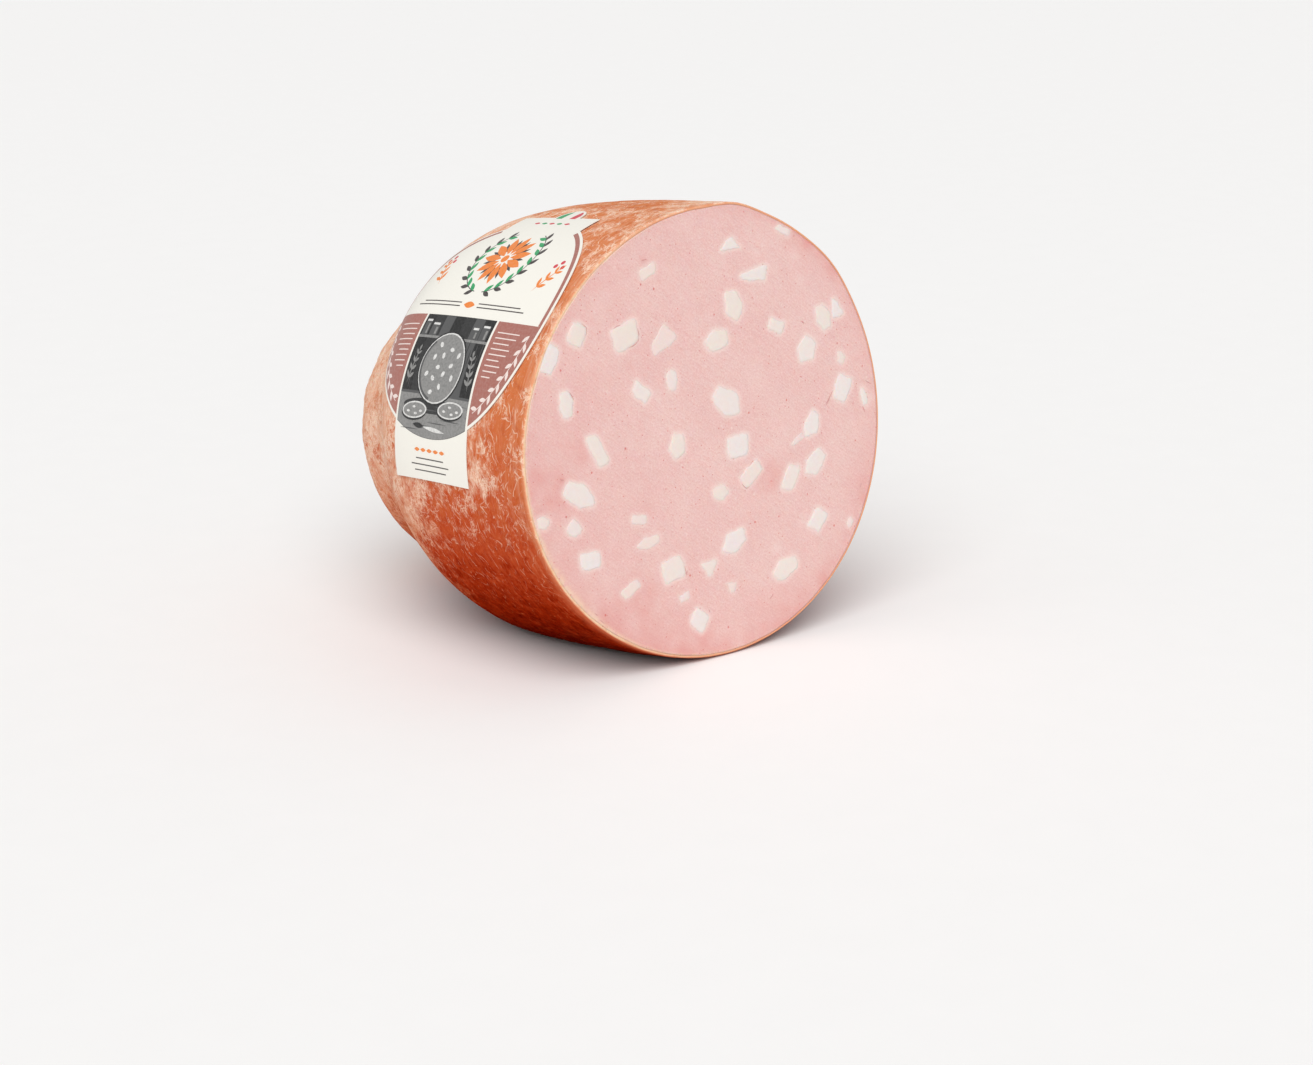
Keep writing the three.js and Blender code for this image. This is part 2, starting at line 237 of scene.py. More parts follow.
def smoothstep(value, low, high):
    share = np.clip((value - low) / (high - low), 0, 1)
    return share * share * (3 - 2 * share)


def hill(place, at, width):
    return np.exp(-(((place - at) / width) ** 2))


def bump(shape, place):
    height, at, width = shape
    return height * hill(place, at, width)


def angle_between(angle, start):
    return np.arctan2(np.sin(angle - start), np.cos(angle - start))


def stacked(x, y, z=0.0):
    """Places from their coordinates, each a number or an array."""
    return np.stack(np.broadcast_arrays(x, y, z), axis=-1)


def toward(degrees):
    """The flat direction at an angle."""
    return np.array([math.cos(math.radians(degrees)), math.sin(math.radians(degrees))])


def turned(x, y, degrees):
    """Flat places turned about the origin."""
    cos, sin = toward(degrees)
    return np.stack([x * cos - y * sin, x * sin + y * cos], axis=-1)


def ripple(places, scale, seed=0.0):
    """Smooth noise between about -1 and 1 at an array of places, with features of about that scale."""
    flat = np.asarray(places, float).reshape(-1, 3) / scale + seed
    found = [noise.noise(Vector(place)) for place in flat]
    return np.array(found).reshape(np.shape(places)[:-1])


# The body's form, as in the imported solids

def section_relief(angle, behind):
    """What the section adds to a true circle: angle 0 is +X, and a quarter turn is the top."""
    sides = THREE_SIDED[0] * np.cos(3 * (angle - THREE_SIDED[1]))
    off_round = OFF_ROUND[0] * np.cos(angle - OFF_ROUND[1])
    corners = sum(bump((height, 0, width), angle_between(angle, at)) for height, at, width in CORNERS)
    return sides + off_round + np.exp(-behind / LENGTH) * corners


def waist_depth(behind, angle):
    depth, at, width = WAIST
    top = np.cos(angle - WAIST_TOP)
    away = np.abs((behind - at - WAIST_SLANT * top) / width)
    return depth * (1 - WAIST_UNEVEN * top) * np.exp(-(away ** WAIST_POWER))


def casing_radius(behind, angle):
    blunt = np.clip(1 - (behind / LENGTH) ** END_POWER, 0, 1) ** (1 / END_ROOT)
    belly = bump(BELLY, behind) - bump(BELLY, 0)
    swell = CUT_RADIUS * blunt + belly + bump(CAP, behind) - waist_depth(behind, angle)
    pleats = PLEAT_DEPTH * smoothstep(behind, PLEATS_FROM, LENGTH) * np.cos(PLEATS * angle)
    return np.maximum(0, swell + swell / CUT_RADIUS * section_relief(angle, behind) + blunt * pleats)


def pressed(height, behind):
    """The ground presses the belly up smoothly, and flat where it would reach below the band."""
    band = np.minimum(PRESS_BELLY, PRESS_AT_CUT + PRESS_GROWTH * behind)
    eased = (np.maximum(height + band, 0)) ** 2 / (4 * band)
    return np.where(height >= band, height, eased)


def casing_point(behind, angle, share=1.0, lift=0.0):
    """A place on the casing, or inside it at a share of its radius, or lifted off it."""
    along = behind / LENGTH
    lean = CUT_LEAN + (AXIS_FALL - CUT_LEAN) * smoothstep(along, 0, AXIS_TURNS_BY)
    radius = share * casing_radius(behind, angle) + lift
    rise = BEND_UP * along ** 2 + radius * np.sin(angle)
    x = BEND_SIDE * along ** 2 + radius * np.cos(angle)
    y = behind * math.cos(AXIS_FALL) + rise * np.sin(lean)
    z = CUT_HEIGHT - behind * math.sin(AXIS_FALL) + rise * np.cos(lean)
    return stacked(x, y, pressed(z, np.maximum(behind, 0)))


def casing_normal(behind, angle):
    step = 0.5
    turn = step / CUT_RADIUS
    backward = casing_point(behind + step, angle) - casing_point(behind - step, angle)
    around = casing_point(behind, angle + turn) - casing_point(behind, angle - turn)
    normal = np.cross(backward, around)
    return normal / np.linalg.norm(normal, axis=-1, keepdims=True)


def skin_place(behind, angle):
    """The casing unrolled flat: how far round it and how far behind the cut."""
    return stacked(CUT_RADIUS * angle, behind)


def wrap_place(behind, angle):
    """The casing rolled on a true cylinder, in mm, which its pattern follows."""
    return stacked(CUT_RADIUS * np.cos(angle), CUT_RADIUS * np.sin(angle), behind)


def face_point(across, up, out):
    """A place on the cut: out is how far it stands before the casing's edge."""
    y = up * math.sin(CUT_LEAN) - out * math.cos(CUT_LEAN)
    z = CUT_HEIGHT + up * math.cos(CUT_LEAN) + out * math.sin(CUT_LEAN)
    return stacked(across, y, z)


# Meshes

def tube_faces(rings, sides):
    """Four-sided faces between rings of points, one ring after another."""
    ring, side = np.meshgrid(np.arange(rings - 1), np.arange(sides), indexing="ij")
    start = ring * sides + side
    after = ring * sides + (side + 1) % sides
    return np.stack([start, after, after + sides, start + sides], axis=-1).reshape(-1, 4).tolist()


def capped_tube(rings, sides):
    """A tube's faces, with its ends closed by fans to the two points that come after the rings."""
    count = rings * sides
    pairs = list(enumerate([*range(1, sides), 0]))
    first_fan = [(b, a, count) for a, b in pairs]
    last_fan = [(count - sides + a, count - sides + b, count + 1) for a, b in pairs]
    return tube_faces(rings, sides) + first_fan + last_fan


def joined(parts):
    """One mesh from several, each its points and faces."""
    points, faces = [], []
    for part_points, part_faces in parts:
        faces += [[corner + len(points) for corner in face] for face in part_faces]
        points.extend(part_points)
    return points, faces


def unrolled(values, faces):
    """Values for each corner of each face, moved by a full turn where a face crosses the seam below."""
    corners = values[np.concatenate([np.array(face) for face in faces])]
    first = values[np.repeat([face[0] for face in faces], [len(face) for face in faces])]
    girth = 2 * math.pi * CUT_RADIUS
    corners[:, 0] += girth * np.round((first[:, 0] - corners[:, 0]) / girth)
    return corners


def add_object(name, data):
    made = bpy.data.objects.new(name, data)
    bpy.context.scene.collection.objects.link(made)
    return made


def aim(viewer, along):
    """Turns a camera or a light to look along a direction."""
    viewer.rotation_mode = "QUATERNION"
    viewer.rotation_quaternion = along.to_track_quat("-Z", "Y")


def make_piece(name, points, faces, materials, slot, replaces=None, skin=None, **attributes):
    """A closed mesh from places in mm, with its numbers or vectors for each point as attributes.
    The skin is each point's place on the unrolled casing."""
    mesh = bpy.data.meshes.new(name)
    mesh.from_pydata(((np.asarray(points) + SHIFT) * METRE).tolist(), [], faces)
    for key, values in attributes.items():
        values = np.asarray(values, np.float32)
        kind, field = ("FLOAT_VECTOR", "vector") if values.ndim == 2 else ("FLOAT", "value")
        mesh.attributes.new(key, kind, "POINT").data.foreach_set(field, values.ravel())
    if skin is not None:
        made = mesh.attributes.new("skin", "FLOAT_VECTOR", "CORNER")
        made.data.foreach_set("vector", unrolled(skin, faces).astype(np.float32).ravel())
    work = bmesh.new()
    work.from_mesh(mesh)
    bmesh.ops.recalc_face_normals(work, faces=work.faces)
    work.to_mesh(mesh)
    work.free()
    mesh.shade_smooth()
    for material in materials:
        mesh.materials.append(material)
    piece = add_object(name, mesh)
    if replaces:
        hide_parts(replaces)
    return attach(piece, "root")


# Nodes

def srgb(code):
    """A linear colour from its hexadecimal code."""
    parts = [int(code[i:i + 2], 16) / 255 for i in (0, 2, 4)]
    linear = [part / 12.92 if part <= 0.04045 else ((part + 0.055) / 1.055) ** 2.4 for part in parts]
    return (*linear, 1.0)


def add_node(tree, kind, inputs=None, **settings):
    """A shader node, whose inputs are fields or constants."""
    made = tree.nodes.new("ShaderNode" + kind)
    for key, value in settings.items():
        setattr(made, key, value)
    for key, value in (inputs or {}).items():
        if isinstance(value, Field):
            tree.links.new(value.socket, made.inputs[key])
        else:
            made.inputs[key].default_value = value
    return made


class Field:
    """What a node gives at each place of a surface. Sums and products of fields are nodes too."""

    def __init__(self, node, output=0):
        self.socket = node.outputs[output]

    def node(self, kind, inputs, **settings):
        return add_node(self.socket.id_data, kind, inputs, **settings)

    def calc(self, operation, other=0.0):
        return Field(self.node("Math", {0: self, 1: other}, operation=operation))

    def vector_math(self, operation, *others):
        return Field(self.node("VectorMath", dict(enumerate((self, *others))), operation=operation))

    def parts(self, kind):
        """The three numbers of a colour or a vector."""
        split = self.node("Separate" + kind, {0: self})
        return [Field(split, output) for output in range(3)]

    def turned(self, angle):
        return Field(self.node("VectorRotate", {"Vector": self, "Angle": angle}, rotation_type="Z_AXIS"))

    def __add__(self, other):
        return self.calc("ADD", other)

    def __sub__(self, other):
        return self.calc("SUBTRACT", other)

    def __mul__(self, other):
        return self.calc("MULTIPLY", other)


def attribute(material, name, output="Fac"):
    return Field(add_node(material.node_tree, "Attribute", attribute_name=name), output)


def stretched(place, scale):
    return place.vector_math("MULTIPLY", scale)


def shifted(place, shift):
    return place.vector_math("ADD", shift)


def cloudy(place, scale, detail=2.0, rough=0.5, distortion=0.0):
    """Noise from 0 to 1, with features of about 1 / scale mm."""
    inputs = {"Vector": place, "Scale": scale, "Detail": detail, "Roughness": rough}
    return Field(place.node("TexNoise", inputs | {"Distortion": distortion}))


def wandering(place, scale, reach):
    """A place moved about by slow noise, so that what follows it wanders."""
    drift = Field(place.node("TexNoise", {"Vector": place, "Scale": scale, "Detail": 1.0}), "Color")
    return drift.vector_math("MULTIPLY_ADD", (reach, reach, 0), place)


def ramp(value, low, high, start=0.0, end=1.0, kind="SMOOTHSTEP"):
    inputs = {"Value": value, "From Min": low, "From Max": high, "To Min": start, "To Max": end}
    return Field(value.node("MapRange", inputs, interpolation_type=kind))


def blend(share, first, second):
    """Mixes two colours, each a field or a colour's code. The share is a field, or a number over a field."""
    colours = [srgb(colour) if isinstance(colour, str) else colour for colour in (first, second)]
    known = share if isinstance(share, Field) else first
    return Field(known.node("Mix", {0: share, 6: colours[0], 7: colours[1]}, data_type="RGBA"), 2)


def layered(colour, layers):
    """Lays further colours over one, each with its share."""
    for share, tone in layers:
        colour = blend(share, colour, tone)
    return colour


def tones(value, stops):
    """A colour that follows a number through stops, each a place from 0 to 1 and a colour's code."""
    made = value.node("ValToRGB", {0: value})
    elements = made.color_ramp.elements
    while len(elements) < len(stops):
        elements.new(1.0)
    for element, (place, code) in zip(elements, stops):
        element.position = place
        element.color = srgb(code)
    return Field(made)


def cells(place, scale, **settings):
    """Random cells: how far away the middle of one's own is, its three random numbers, and its place."""
    made = place.node("TexVoronoi", {"Vector": place, "Scale": scale}, feature="F1", **settings)
    return Field(made, "Distance"), Field(made, "Color").parts("Color"), Field(made, "Position")


def specks(place, scale, reach, rare):
    """Round specks of a reach in mm, in the share of cells whose random number is over rare."""
    away, draws, _ = cells(place, scale)
    return ramp(away, reach * scale, reach * scale * 0.4) * draws[0].calc("GREATER_THAN", rare)


def threads(place, scale, width, seed):
    """Thin winding lines, as wide as that share of the noise's range."""
    wave = cloudy(shifted(stretched(place, scale), (seed, seed, 0)), 1.0, 2, 0.55, 0.6)
    return ramp((wave - 0.5).calc("ABSOLUTE"), width, 0.2 * width)


def strokes(place, cell, width, density, spread, bend):
    """Short bent strokes along the first axis, in the random cells whose number is under the density there.
    Lengths are in the place's own units, the spread of their headings in radians, and the bend is the most
    that a stroke curves."""
    _, draws, middle = cells(place, 1 / cell, voronoi_dimensions="2D")
    turn = ramp(draws[0], 0.0, 1.0, -spread / 2, spread / 2, "LINEAR")
    x, y, _ = place.vector_math("SUBTRACT", middle).turned(turn).parts("XYZ")
    curved = y + ramp(draws[1], 0.0, 1.0, -bend, bend, "LINEAR") * (x * x)
    thick = ramp(draws[2], 0.0, 0.6, width, 0.5 * width, "LINEAR")
    across = ramp(curved.calc("ABSOLUTE").calc("DIVIDE", thick), 0.6, 0.1)
    half = ramp(draws[0], 0.0, 1.0, 0.26 * cell, 0.78 * cell, "LINEAR")
    along = ramp(x.calc("ABSOLUTE") - half, 0.0, -0.3 * cell)
    return across * along * draws[2].calc("LESS_THAN", density)


def new_material(name, **values):
    """A material whose shader holds these constant values."""
    material = bpy.data.materials.new(name)
    material.use_nodes = True
    for key, value in values.items():
        material.node_tree.nodes["Principled BSDF"].inputs[key.replace("_", " ")].default_value = value
    return material


def link_surface(material, colour, height=None, reach=0.0, rough=None):
    """Links a colour, a bump whose full height is reach in mm, and a roughness to the material's shader."""
    tree = material.node_tree
    links = {"Base Color": colour, "Roughness": rough}
    if height:
        links["Normal"] = Field(add_node(tree, "Bump", {"Height": height, "Distance": reach * METRE}))
    for key, field in links.items():
        if field:
            tree.links.new(field.socket, tree.nodes["Principled BSDF"].inputs[key])
    return material


# Materials

def casing_ground(wrap, skin, downward, near_cut):
    """The bare casing: deeper towards its foot, partly its own colour and partly painted shade, brighter
    beside the cut, and uneven in long soft streaks. Gives the colour of the veil on it too, which deepens the
    same way."""
    place = downward - near_cut * 0.1
    streaks = cloudy(stretched(wandering(skin, 0.06, 9.0), (0.07, 0.6, 1)), 1.0, 4, 0.65, 0.5)
    clouds = cloudy(wrap, 0.14, 4, 0.6, 0.5)
    mottling = cloudy(wrap, 0.4, 4, 0.7, 0.6)
    for grain, reach in ((streaks, 0.05), (clouds, 0.06), (mottling, 0.05)):
        place = place + ramp(grain, 0.3, 0.7, -reach, reach, "LINEAR")
    deeper = ramp(cloudy(wrap, 0.1, 4, 0.7, 0.9), 0.48, 0.68, 0.0, 0.36)
    return blend(deeper, tones(place, CASING_TONES_WITH_SHADE), "A2371A"), tones(place, VEIL_TONES_WITH_SHADE)


def casing_density(wrap, pale):
    """How thick the milky clouds in the casing are."""
    clouds = cloudy(stretched(wrap, (1, 1, 0.8)), 0.05, 4, 0.55, 0.4)
    patches = cloudy(stretched(wrap, (1, 1, 1.3)), 0.16, 4, 0.6, 0.5)
    return (clouds + patches) * 0.5 + pale * 0.16


def casing_fibres(skin, crowd):
    """Fine fibres that run round the casing, the more of them where they crowd."""
    bent = wandering(wandering(skin, 0.04, 22.0), 0.3, 2.6)
    found = ramp(cloudy(stretched(bent, (0.5, 1.6, 1)), 1.0, 4, 0.7, 0.7), 0.52, 0.66) * (crowd * 0.5)
    # Each layer of fibres: its shift, the size of its cells, their width, spread of headings and bend
    layers = [(0.0, 3.2, 0.5, 1.2, 0.25), (57.0, 4.4, 0.55, 2.4, 0.3), (83.0, 6.4, 0.55, 1.4, 0.12),
              (31.0, 5.2, 0.5, 6.2, 0.35)]
    for shift, cell, width, spread, bend in layers:
        layer = strokes(shifted(bent, (shift, 2 * shift, 0)), cell, width, crowd * 0.62, spread, bend)
        found = found.calc("MAXIMUM", layer)
    return found


def casing_lint(skin, where):
    """Winding threads that lie in patches."""
    patches = ramp(cloudy(shifted(skin, (40, 90, 0)), 0.09, 3), 0.42, 0.56)
    lines = threads(skin, (0.16, 0.34, 1), 0.05, 3.0)
    return lines.calc("MAXIMUM", threads(skin, (0.3, 0.26, 1), 0.045, 17.0)) * (patches * where)


def casing_specks(wrap, skin, downward):
    """Small yellow and deep red specks in the casing."""
    yellow = specks(stretched(wandering(skin, 0.5, 3.0), (0.5, 1.2, 1)), 0.2, 0.55, 0.93)
    red = specks(stretched(wrap, (1.3, 1.3, 1.1)), 0.1, 0.8, 0.92)
    return [(yellow * ramp(downward, 0.75, 0.55, 0.0, 0.7), "E39A30"), (red * 0.8, "98200C")]


def make_casing_material():
    material = new_material("casing", Subsurface_Weight=0.1, Subsurface_Scale=0.0012, Specular_IOR_Level=0.0)
    wrap, skin = (attribute(material, name, "Vector") for name in ("wrap", "skin"))
    pale, downward, near_cut, glow, creamy, edge = (
        attribute(material, name) for name in ("pale", "downward", "near_cut", "glow", "creamy", "edge"))

    density = casing_density(wrap, pale)
    milky = ramp(density, 0.48, 0.7)
    blotches = cloudy(stretched(skin, (0.24, 0.66, 1)), 1.0, 4, 0.62, 0.5)
    blotches = ramp(blotches, 0.44, 0.66) * ramp(density, 0.5, 0.64)
    fibres = casing_fibres(skin, ramp(density, 0.36, 0.62, 0.34, 1.0))
    lint = casing_lint(skin, ramp(density, 0.44, 0.54))
    bands = ramp(cloudy(stretched(wrap, (0.03, 0.03, 0.55)), 1.0, 3, 0.6, 0.3), 0.46, 0.62) * near_cut

    # A painted glow where light comes through the casing at its very edge, deeper in colour below. The edge
    # is creamy on one side, partly its own colour and partly a painted highlight, and orange on the other
    ground, veil = casing_ground(wrap, skin, downward, near_cut)
    # Painted shade: the fibres and threads lose their pale towards the foot and take the veil's colour there
    thread = blend(ramp(downward, 0.5, 0.86, 0.75, 0.0), veil, "FBE8D2")
    lit = blend(ramp(downward, 0.55, 0.9), "E7A27A", "CE6A48")
    cut_edge = blend(ramp(cloudy(wrap, 0.16, 4, 0.6), 0.22, 0.56) * creamy, "DE9F7C", "ECCDAB")
    colour = layered(ground, [
        (bands * 0.3, veil), (glow, lit), (milky * 0.68, veil), (blotches * 0.37, thread),
        (lint * 0.6, thread), (fibres * 0.55, thread), *casing_specks(wrap, skin, downward),
        (edge, cut_edge)])

    height = fibres * 0.4 + cloudy(wrap, 1.3, 3, 0.6) * 0.3 + blotches * 0.3
    return link_surface(material, colour, height, 0.1, ramp(density, 0.4, 0.7, 0.38, 0.52))


def paste_colour(face):
    """The paste's own colour, with soft clouds, smears from the knife and crumbs of fat. Gives its grain and
    smears too."""
    grain = cloudy(face, 1.1, 4, 0.7)
    smears = cloudy(stretched(face.turned(SMEARS_TURN), (0.14, 1.4, 1)), 1.0, 4, 0.68)
    crumbs = specks(shifted(face, (5, 3, 0)), 0.16, 0.9, 0.72)
    ground = blend(ramp(cloudy(face, 0.035, 3, 0.55), 0.3, 0.7), "E0B6B1", "E3BFB9")
    colour = layered(ground, [
        (ramp(grain, 0.45, 0.72, 0.0, 0.55), "EFD6D0"), (ramp(grain, 0.52, 0.28, 0.0, 0.5), "D69B96"),
        (ramp(smears, 0.48, 0.7, 0.0, 0.42), "D69E98"), (ramp(smears, 0.46, 0.28, 0.0, 0.3), "EDD3CD"),
        (crumbs * 0.35, "EEDBD5")])
    return colour, grain, smears


def paste_pores(face):
    """Pores of three sizes."""
    small = specks(face, 0.36, 0.42, 0.55)
    large = specks(stretched(face, (1, 0.85, 1)), 0.12, 0.72, 0.5)
    fine = specks(shifted(face, (7, 2, 0)), 0.6, 0.28, 0.25)
    return small.calc("MAXIMUM", large).calc("MAXIMUM", fine * 0.7)


def make_paste_material():
    material = new_material(
        "paste", Roughness=0.42, Subsurface_Weight=0.2, Subsurface_Scale=0.001, Coat_Weight=0.06,
        Coat_Roughness=0.25)
    face = attribute(material, "face", "Vector")
    ground, grain, smears = paste_colour(face)
    cream = attribute(material, "cream") * ramp(cloudy(face, 0.25, 4, 0.6), 0.25, 0.6)
    pores = paste_pores(face)
    colour = layered(ground, [
        (attribute(material, "rosy"), "D88F88"), (cream, "EBCDAF"),
        (attribute(material, "near_fat") * 0.62, FILM), (pores * 0.75, "CB5E57")])
    return link_surface(material, colour, grain * 0.3 + smears * 0.25 - pores * 0.45, 0.12)


def make_fat_material():
    """Fat, whiter inside each cube and seen through a film of paste at its edge."""
    material = new_material(
        "fat", Roughness=0.36, Subsurface_Weight=0.3, Subsurface_Scale=0.002, Coat_Weight=0.1,
        Coat_Roughness=0.2)
    face = attribute(material, "face", "Vector")
    paste, grain, smears = paste_colour(face)
    fat = blend(attribute(material, "cool"), "E5D8CF", "E5DBD8")
    fat = blend(ramp(cloudy(face, 0.5, 3, 0.6), 0.3, 0.8, 0.0, 0.25), fat, "DFC8BF")
    inside = attribute(material, "inside") + ramp(grain, 0.3, 0.7, -0.2, 0.2)
    clear = ramp(inside, -0.15, 0.6) * attribute(material, "clear")
    return link_surface(material, blend(clear, blend(0.6, paste, FILM), fat), grain + smears, 0.05)


def make_gap_shade_material():
    material = new_material("gap_shade", Roughness=0.5, Subsurface_Weight=0.2, Subsurface_Scale=0.001)
    # Painted shade: the paste in a crack or nick is drawn a darker pink than the paste around it
    shade = cloudy(attribute(material, "face", "Vector"), 0.8, 2)
    return link_surface(material, blend(shade, "C98783", "DDA8A2"))


def make_paper_material(name, code, tone, share):
    """Coated paper or the ink on it, uneven towards a second tone by up to a share."""
    material = new_material(name, Roughness=0.42)
    fibre = cloudy(attribute(material, "flat", "Vector"), 0.7, 4, 0.6)
    return link_surface(material, blend(ramp(fibre, 0.35, 0.75, 0.0, share), code, tone), fibre, 0.02)


# The casing

def casing_lift(behind, angle):
    """Fine relief: soft dents, bands beside the cut, creases at the waist and small pleats at the end."""
    wrap = wrap_place(behind, angle)
    dents = 0.3 * ripple(wrap, 24.0) + 0.1 * ripple(wrap, 7.0, 5.0)
    bands = 0.08 * np.exp(-behind / 9.0) * ripple(wrap * (0.03, 0.03, 1), 2.2, 9.0)
    creases = 0.2 * hill(behind, WAIST[1], 34.0) * ripple(wrap * (1, 1, 0.1), 3.2, 2.0)
    end = smoothstep(behind, PLEATS_FROM, LENGTH - 10) * np.clip((LENGTH - behind) / 20, 0, 1)
    pleats = end * (0.9 * ripple(wrap * (1, 1, 0.08), 5.0, 3.0) + 0.4 * ripple(wrap * (1, 1, 0.15), 2.4, 7.0))
    return smoothstep(behind, 0.3, 4.0) * dents + bands * smoothstep(behind, 0.3, 1.5) + creases + pleats


def casing_paleness(behind, angle):
    """Where clouds of fibre lie: at the rear, beside the cut on top and beside the label's foot. They are
    cleared from the underside, partly for its own deeper colour and partly as painted shade.
    """
    up = np.sin(angle)
    rear = smoothstep(behind, 65, 115)
    top_edge = hill(behind, 0, 26) * smoothstep(up, 0.7, 0.97)
    around = CUT_RADIUS * angle_between(angle, PALE_PATCH_TURN)
    patch = hill(behind, 36, 14) * hill(around, 0, 24)
    below = hill(behind, 76, 24) * hill(around, 32, 18)
    # Painted shade in part: fewer pale clouds below, so the underside reads darker, less so at the rear end
    under = smoothstep(-up, 0.12, 0.6) * (1 - rear) + rear * smoothstep(-up, 0.5, 0.85)
    under *= 1 - 0.8 * smoothstep(behind, 155, 200)
    clean_band = hill(behind, 14, 12) * (1 - smoothstep(up, 0.9, 1.0))
    return 0.92 * rear + 0.46 * top_edge + 0.3 * patch + 0.2 * below - 1.2 * under - 0.4 * clean_band


def edge_width(angle):
    """How wide the casing's cut edge is, in mm, a little uneven all round."""
    uneven = 0.2 * ripple(wrap_place(0.0, angle), 9.0, 4.0)
    return CASING_WIDTH * (1 + EDGE_UNEVEN * np.cos(angle - EDGE_WIDEST)) + uneven


def casing_shades(depths, turns, edge):
    """What the casing's material follows at each point, by its depth behind the cut and its turn."""
    low = smoothstep(-np.sin(turns), 0.1, 0.8)
    # The creamy side of the cut edge is partly its own pale colour and partly a painted highlight where the
    # light falls
    creamy = smoothstep(np.cos(turns - CREAMY_TURN), -0.1, 0.6)
    return {
        "wrap": wrap_place(depths, turns),
        "pale": casing_paleness(depths, turns),
        # downward runs from 0 on top to 1 at the foot, eased at the rear end; the casing's colours darken
        # along it, partly its own deeper red and partly painted shade
        "downward": (1 - np.sin(turns) * (1 - 0.75 * smoothstep(depths, 150, 200))) / 2,
        "near_cut": np.exp(-depths / 11.0),
        # glow is painted light that comes through the casing at its cut edge, stronger below
        "glow": (0.45 + 0.3 * low) * hill(depths, 0, 1.8 + 2.4 * low),
        "edge": edge + (1 - edge) * 0.7 * smoothstep(np.cos(turns), 0, 0.7) * (depths < 0.5),
        "creamy": creamy * (1 - 0.6 * smoothstep(-np.sin(turns), 0.75, 0.97)),
    }


def make_casing(material):
    angles = np.linspace(-math.pi / 2, 1.5 * math.pi, CASING_SIDES, endpoint=False)
    # Each ring before the outside: its place across the edge, how far behind the cut, and how much it is edge
    lip = [(0.0, PASTE_DEPTH + 1, 1), (0.0, 1.0, 1), (0.0, 0.25, 1), (0.2, 0.04, 1), (0.5, 0.0, 0.85),
           (0.75, 0.05, 0.4), (0.9, 0.15, 0.1), (0.98, 0.35, 0.0)]
    inset = edge_width(angles) / CUT_RADIUS
    rings = [casing_point(behind, angles, 1 - (1 - across) * inset) for across, behind, _ in lip]
    behind = 0.6 + (LENGTH - 1.2) * (1 - (1 - np.linspace(0, 1, CASING_RINGS)) ** 1.5)
    outside, around = np.meshgrid(behind, angles, indexing="ij")
    skin = casing_point(outside, around, 1.0, casing_lift(outside, around))
    skin[..., 2] = np.maximum(skin[..., 2], 0)
    ends = [casing_point(PASTE_DEPTH + 1, 0.0, 0.0), casing_point(LENGTH, 0.0, 0.0)]
    points = np.concatenate([np.reshape(rings, (-1, 3)), skin.reshape(-1, 3), ends])

    count = len(lip) + CASING_RINGS
    depths = np.concatenate([np.repeat([row[1] for row in lip], CASING_SIDES), outside.ravel(), [0, LENGTH]])
    turns = np.concatenate([np.tile(angles, count), [0, 0]])
    edge = np.concatenate([np.repeat([row[2] for row in lip], CASING_SIDES), np.zeros(outside.size + 2)])
    return make_piece(
        "casing", points, capped_tube(count, CASING_SIDES), [material], "casing", "mortadella",
        skin_place(depths, turns), **casing_shades(depths, turns, edge))


def make_knob(material):
    """The tuft where the casing is drawn together at the rear tip."""
    profile = [(0.86, -8.0), (0.74, -3.0), (0.64, -0.5), (0.66, 0.8), (0.86, 2.0), (1.02, 3.4), (1.0, 4.8),
               (0.86, 6.0), (0.62, 6.7), (0.3, 6.9)]
    turns = np.linspace(0, 2 * math.pi, KNOB_SIDES, endpoint=False)
    rings = []
    for share, height in profile:
        radius = KNOB_RADIUS * share * (1 + 0.07 * np.cos(PLEATS * turns) + 0.03 * np.cos(7 * turns + height))
        rings.append(stacked(radius * np.cos(turns), height, radius * np.sin(turns)))
    local = np.concatenate([np.reshape(rings, (-1, 3)), [(0, profile[0][1], 0), (0, KNOB_HEIGHT, 0)]])
    x, y, z = local.T
    fall, slide = math.cos(AXIS_FALL), math.sin(AXIS_FALL)
    points = stacked(x, y * fall + z * slide, z * fall - y * slide) + casing_point(LENGTH, 0.0, 0.0)
    place = (LENGTH + 2 * y, np.arctan2(z, x))
    none = np.zeros(len(points))
    return make_piece(
        "gathered_end", points, capped_tube(len(profile), KNOB_SIDES), [material], "casing", None,
        skin_place(*place), wrap=wrap_place(*place), pale=none + 0.5, downward=none + 0.5, near_cut=none,
        glow=none, edge=none, creamy=none)


# The cut

def make_draw(seed):
    """A repeatable draw between minus one and one, the same as the solids' own."""
    state = seed
    while True:
        state = (state * 1664525 + 1013904223) % 4294967296
        yield state / 2147483648 - 1


def fat_outline(cube, draw):
    """A cube of fat as the knife leaves it: an uneven outline with blunted corners, as large as the oval that
    its length and width give."""
    across, up, length, width, turn, corners, taper = cube
    step = 2 * math.pi / corners
    wedges = math.sin(2 * FAT_BLUNTING) + math.sin(step - 2 * FAT_BLUNTING)
    fill = math.sqrt(2 * math.pi / (corners * wedges))
    points = []
    for corner in range(corners):
        middle = (corner + 0.5) * step + FAT_UNEVEN_TURN * next(draw)
        reach = fill * (1 + FAT_UNEVEN_REACH * next(draw))
        for angle in (middle - FAT_BLUNTING, middle + FAT_BLUNTING):
            along = reach * math.cos(angle)
            points.append((length / 2 * along, width / 2 * reach * math.sin(angle) * (1 - taper * along)))
    return turned(*np.array(points).T, turn) + (across, up)


def rounded(outline):
    """Cuts the corners of a closed outline off, over and over, and further on a small cube."""
    share = 0.2 + 0.08 * smoothstep(-np.ptp(outline, axis=0).max(), -14, -8)
    for _ in range(3):
        after = np.roll(outline, -1, axis=0)
        pair = [(1 - share) * outline + share * after, share * outline + (1 - share) * after]
        outline = np.stack(pair, axis=1).reshape(-1, 2)
    return outline


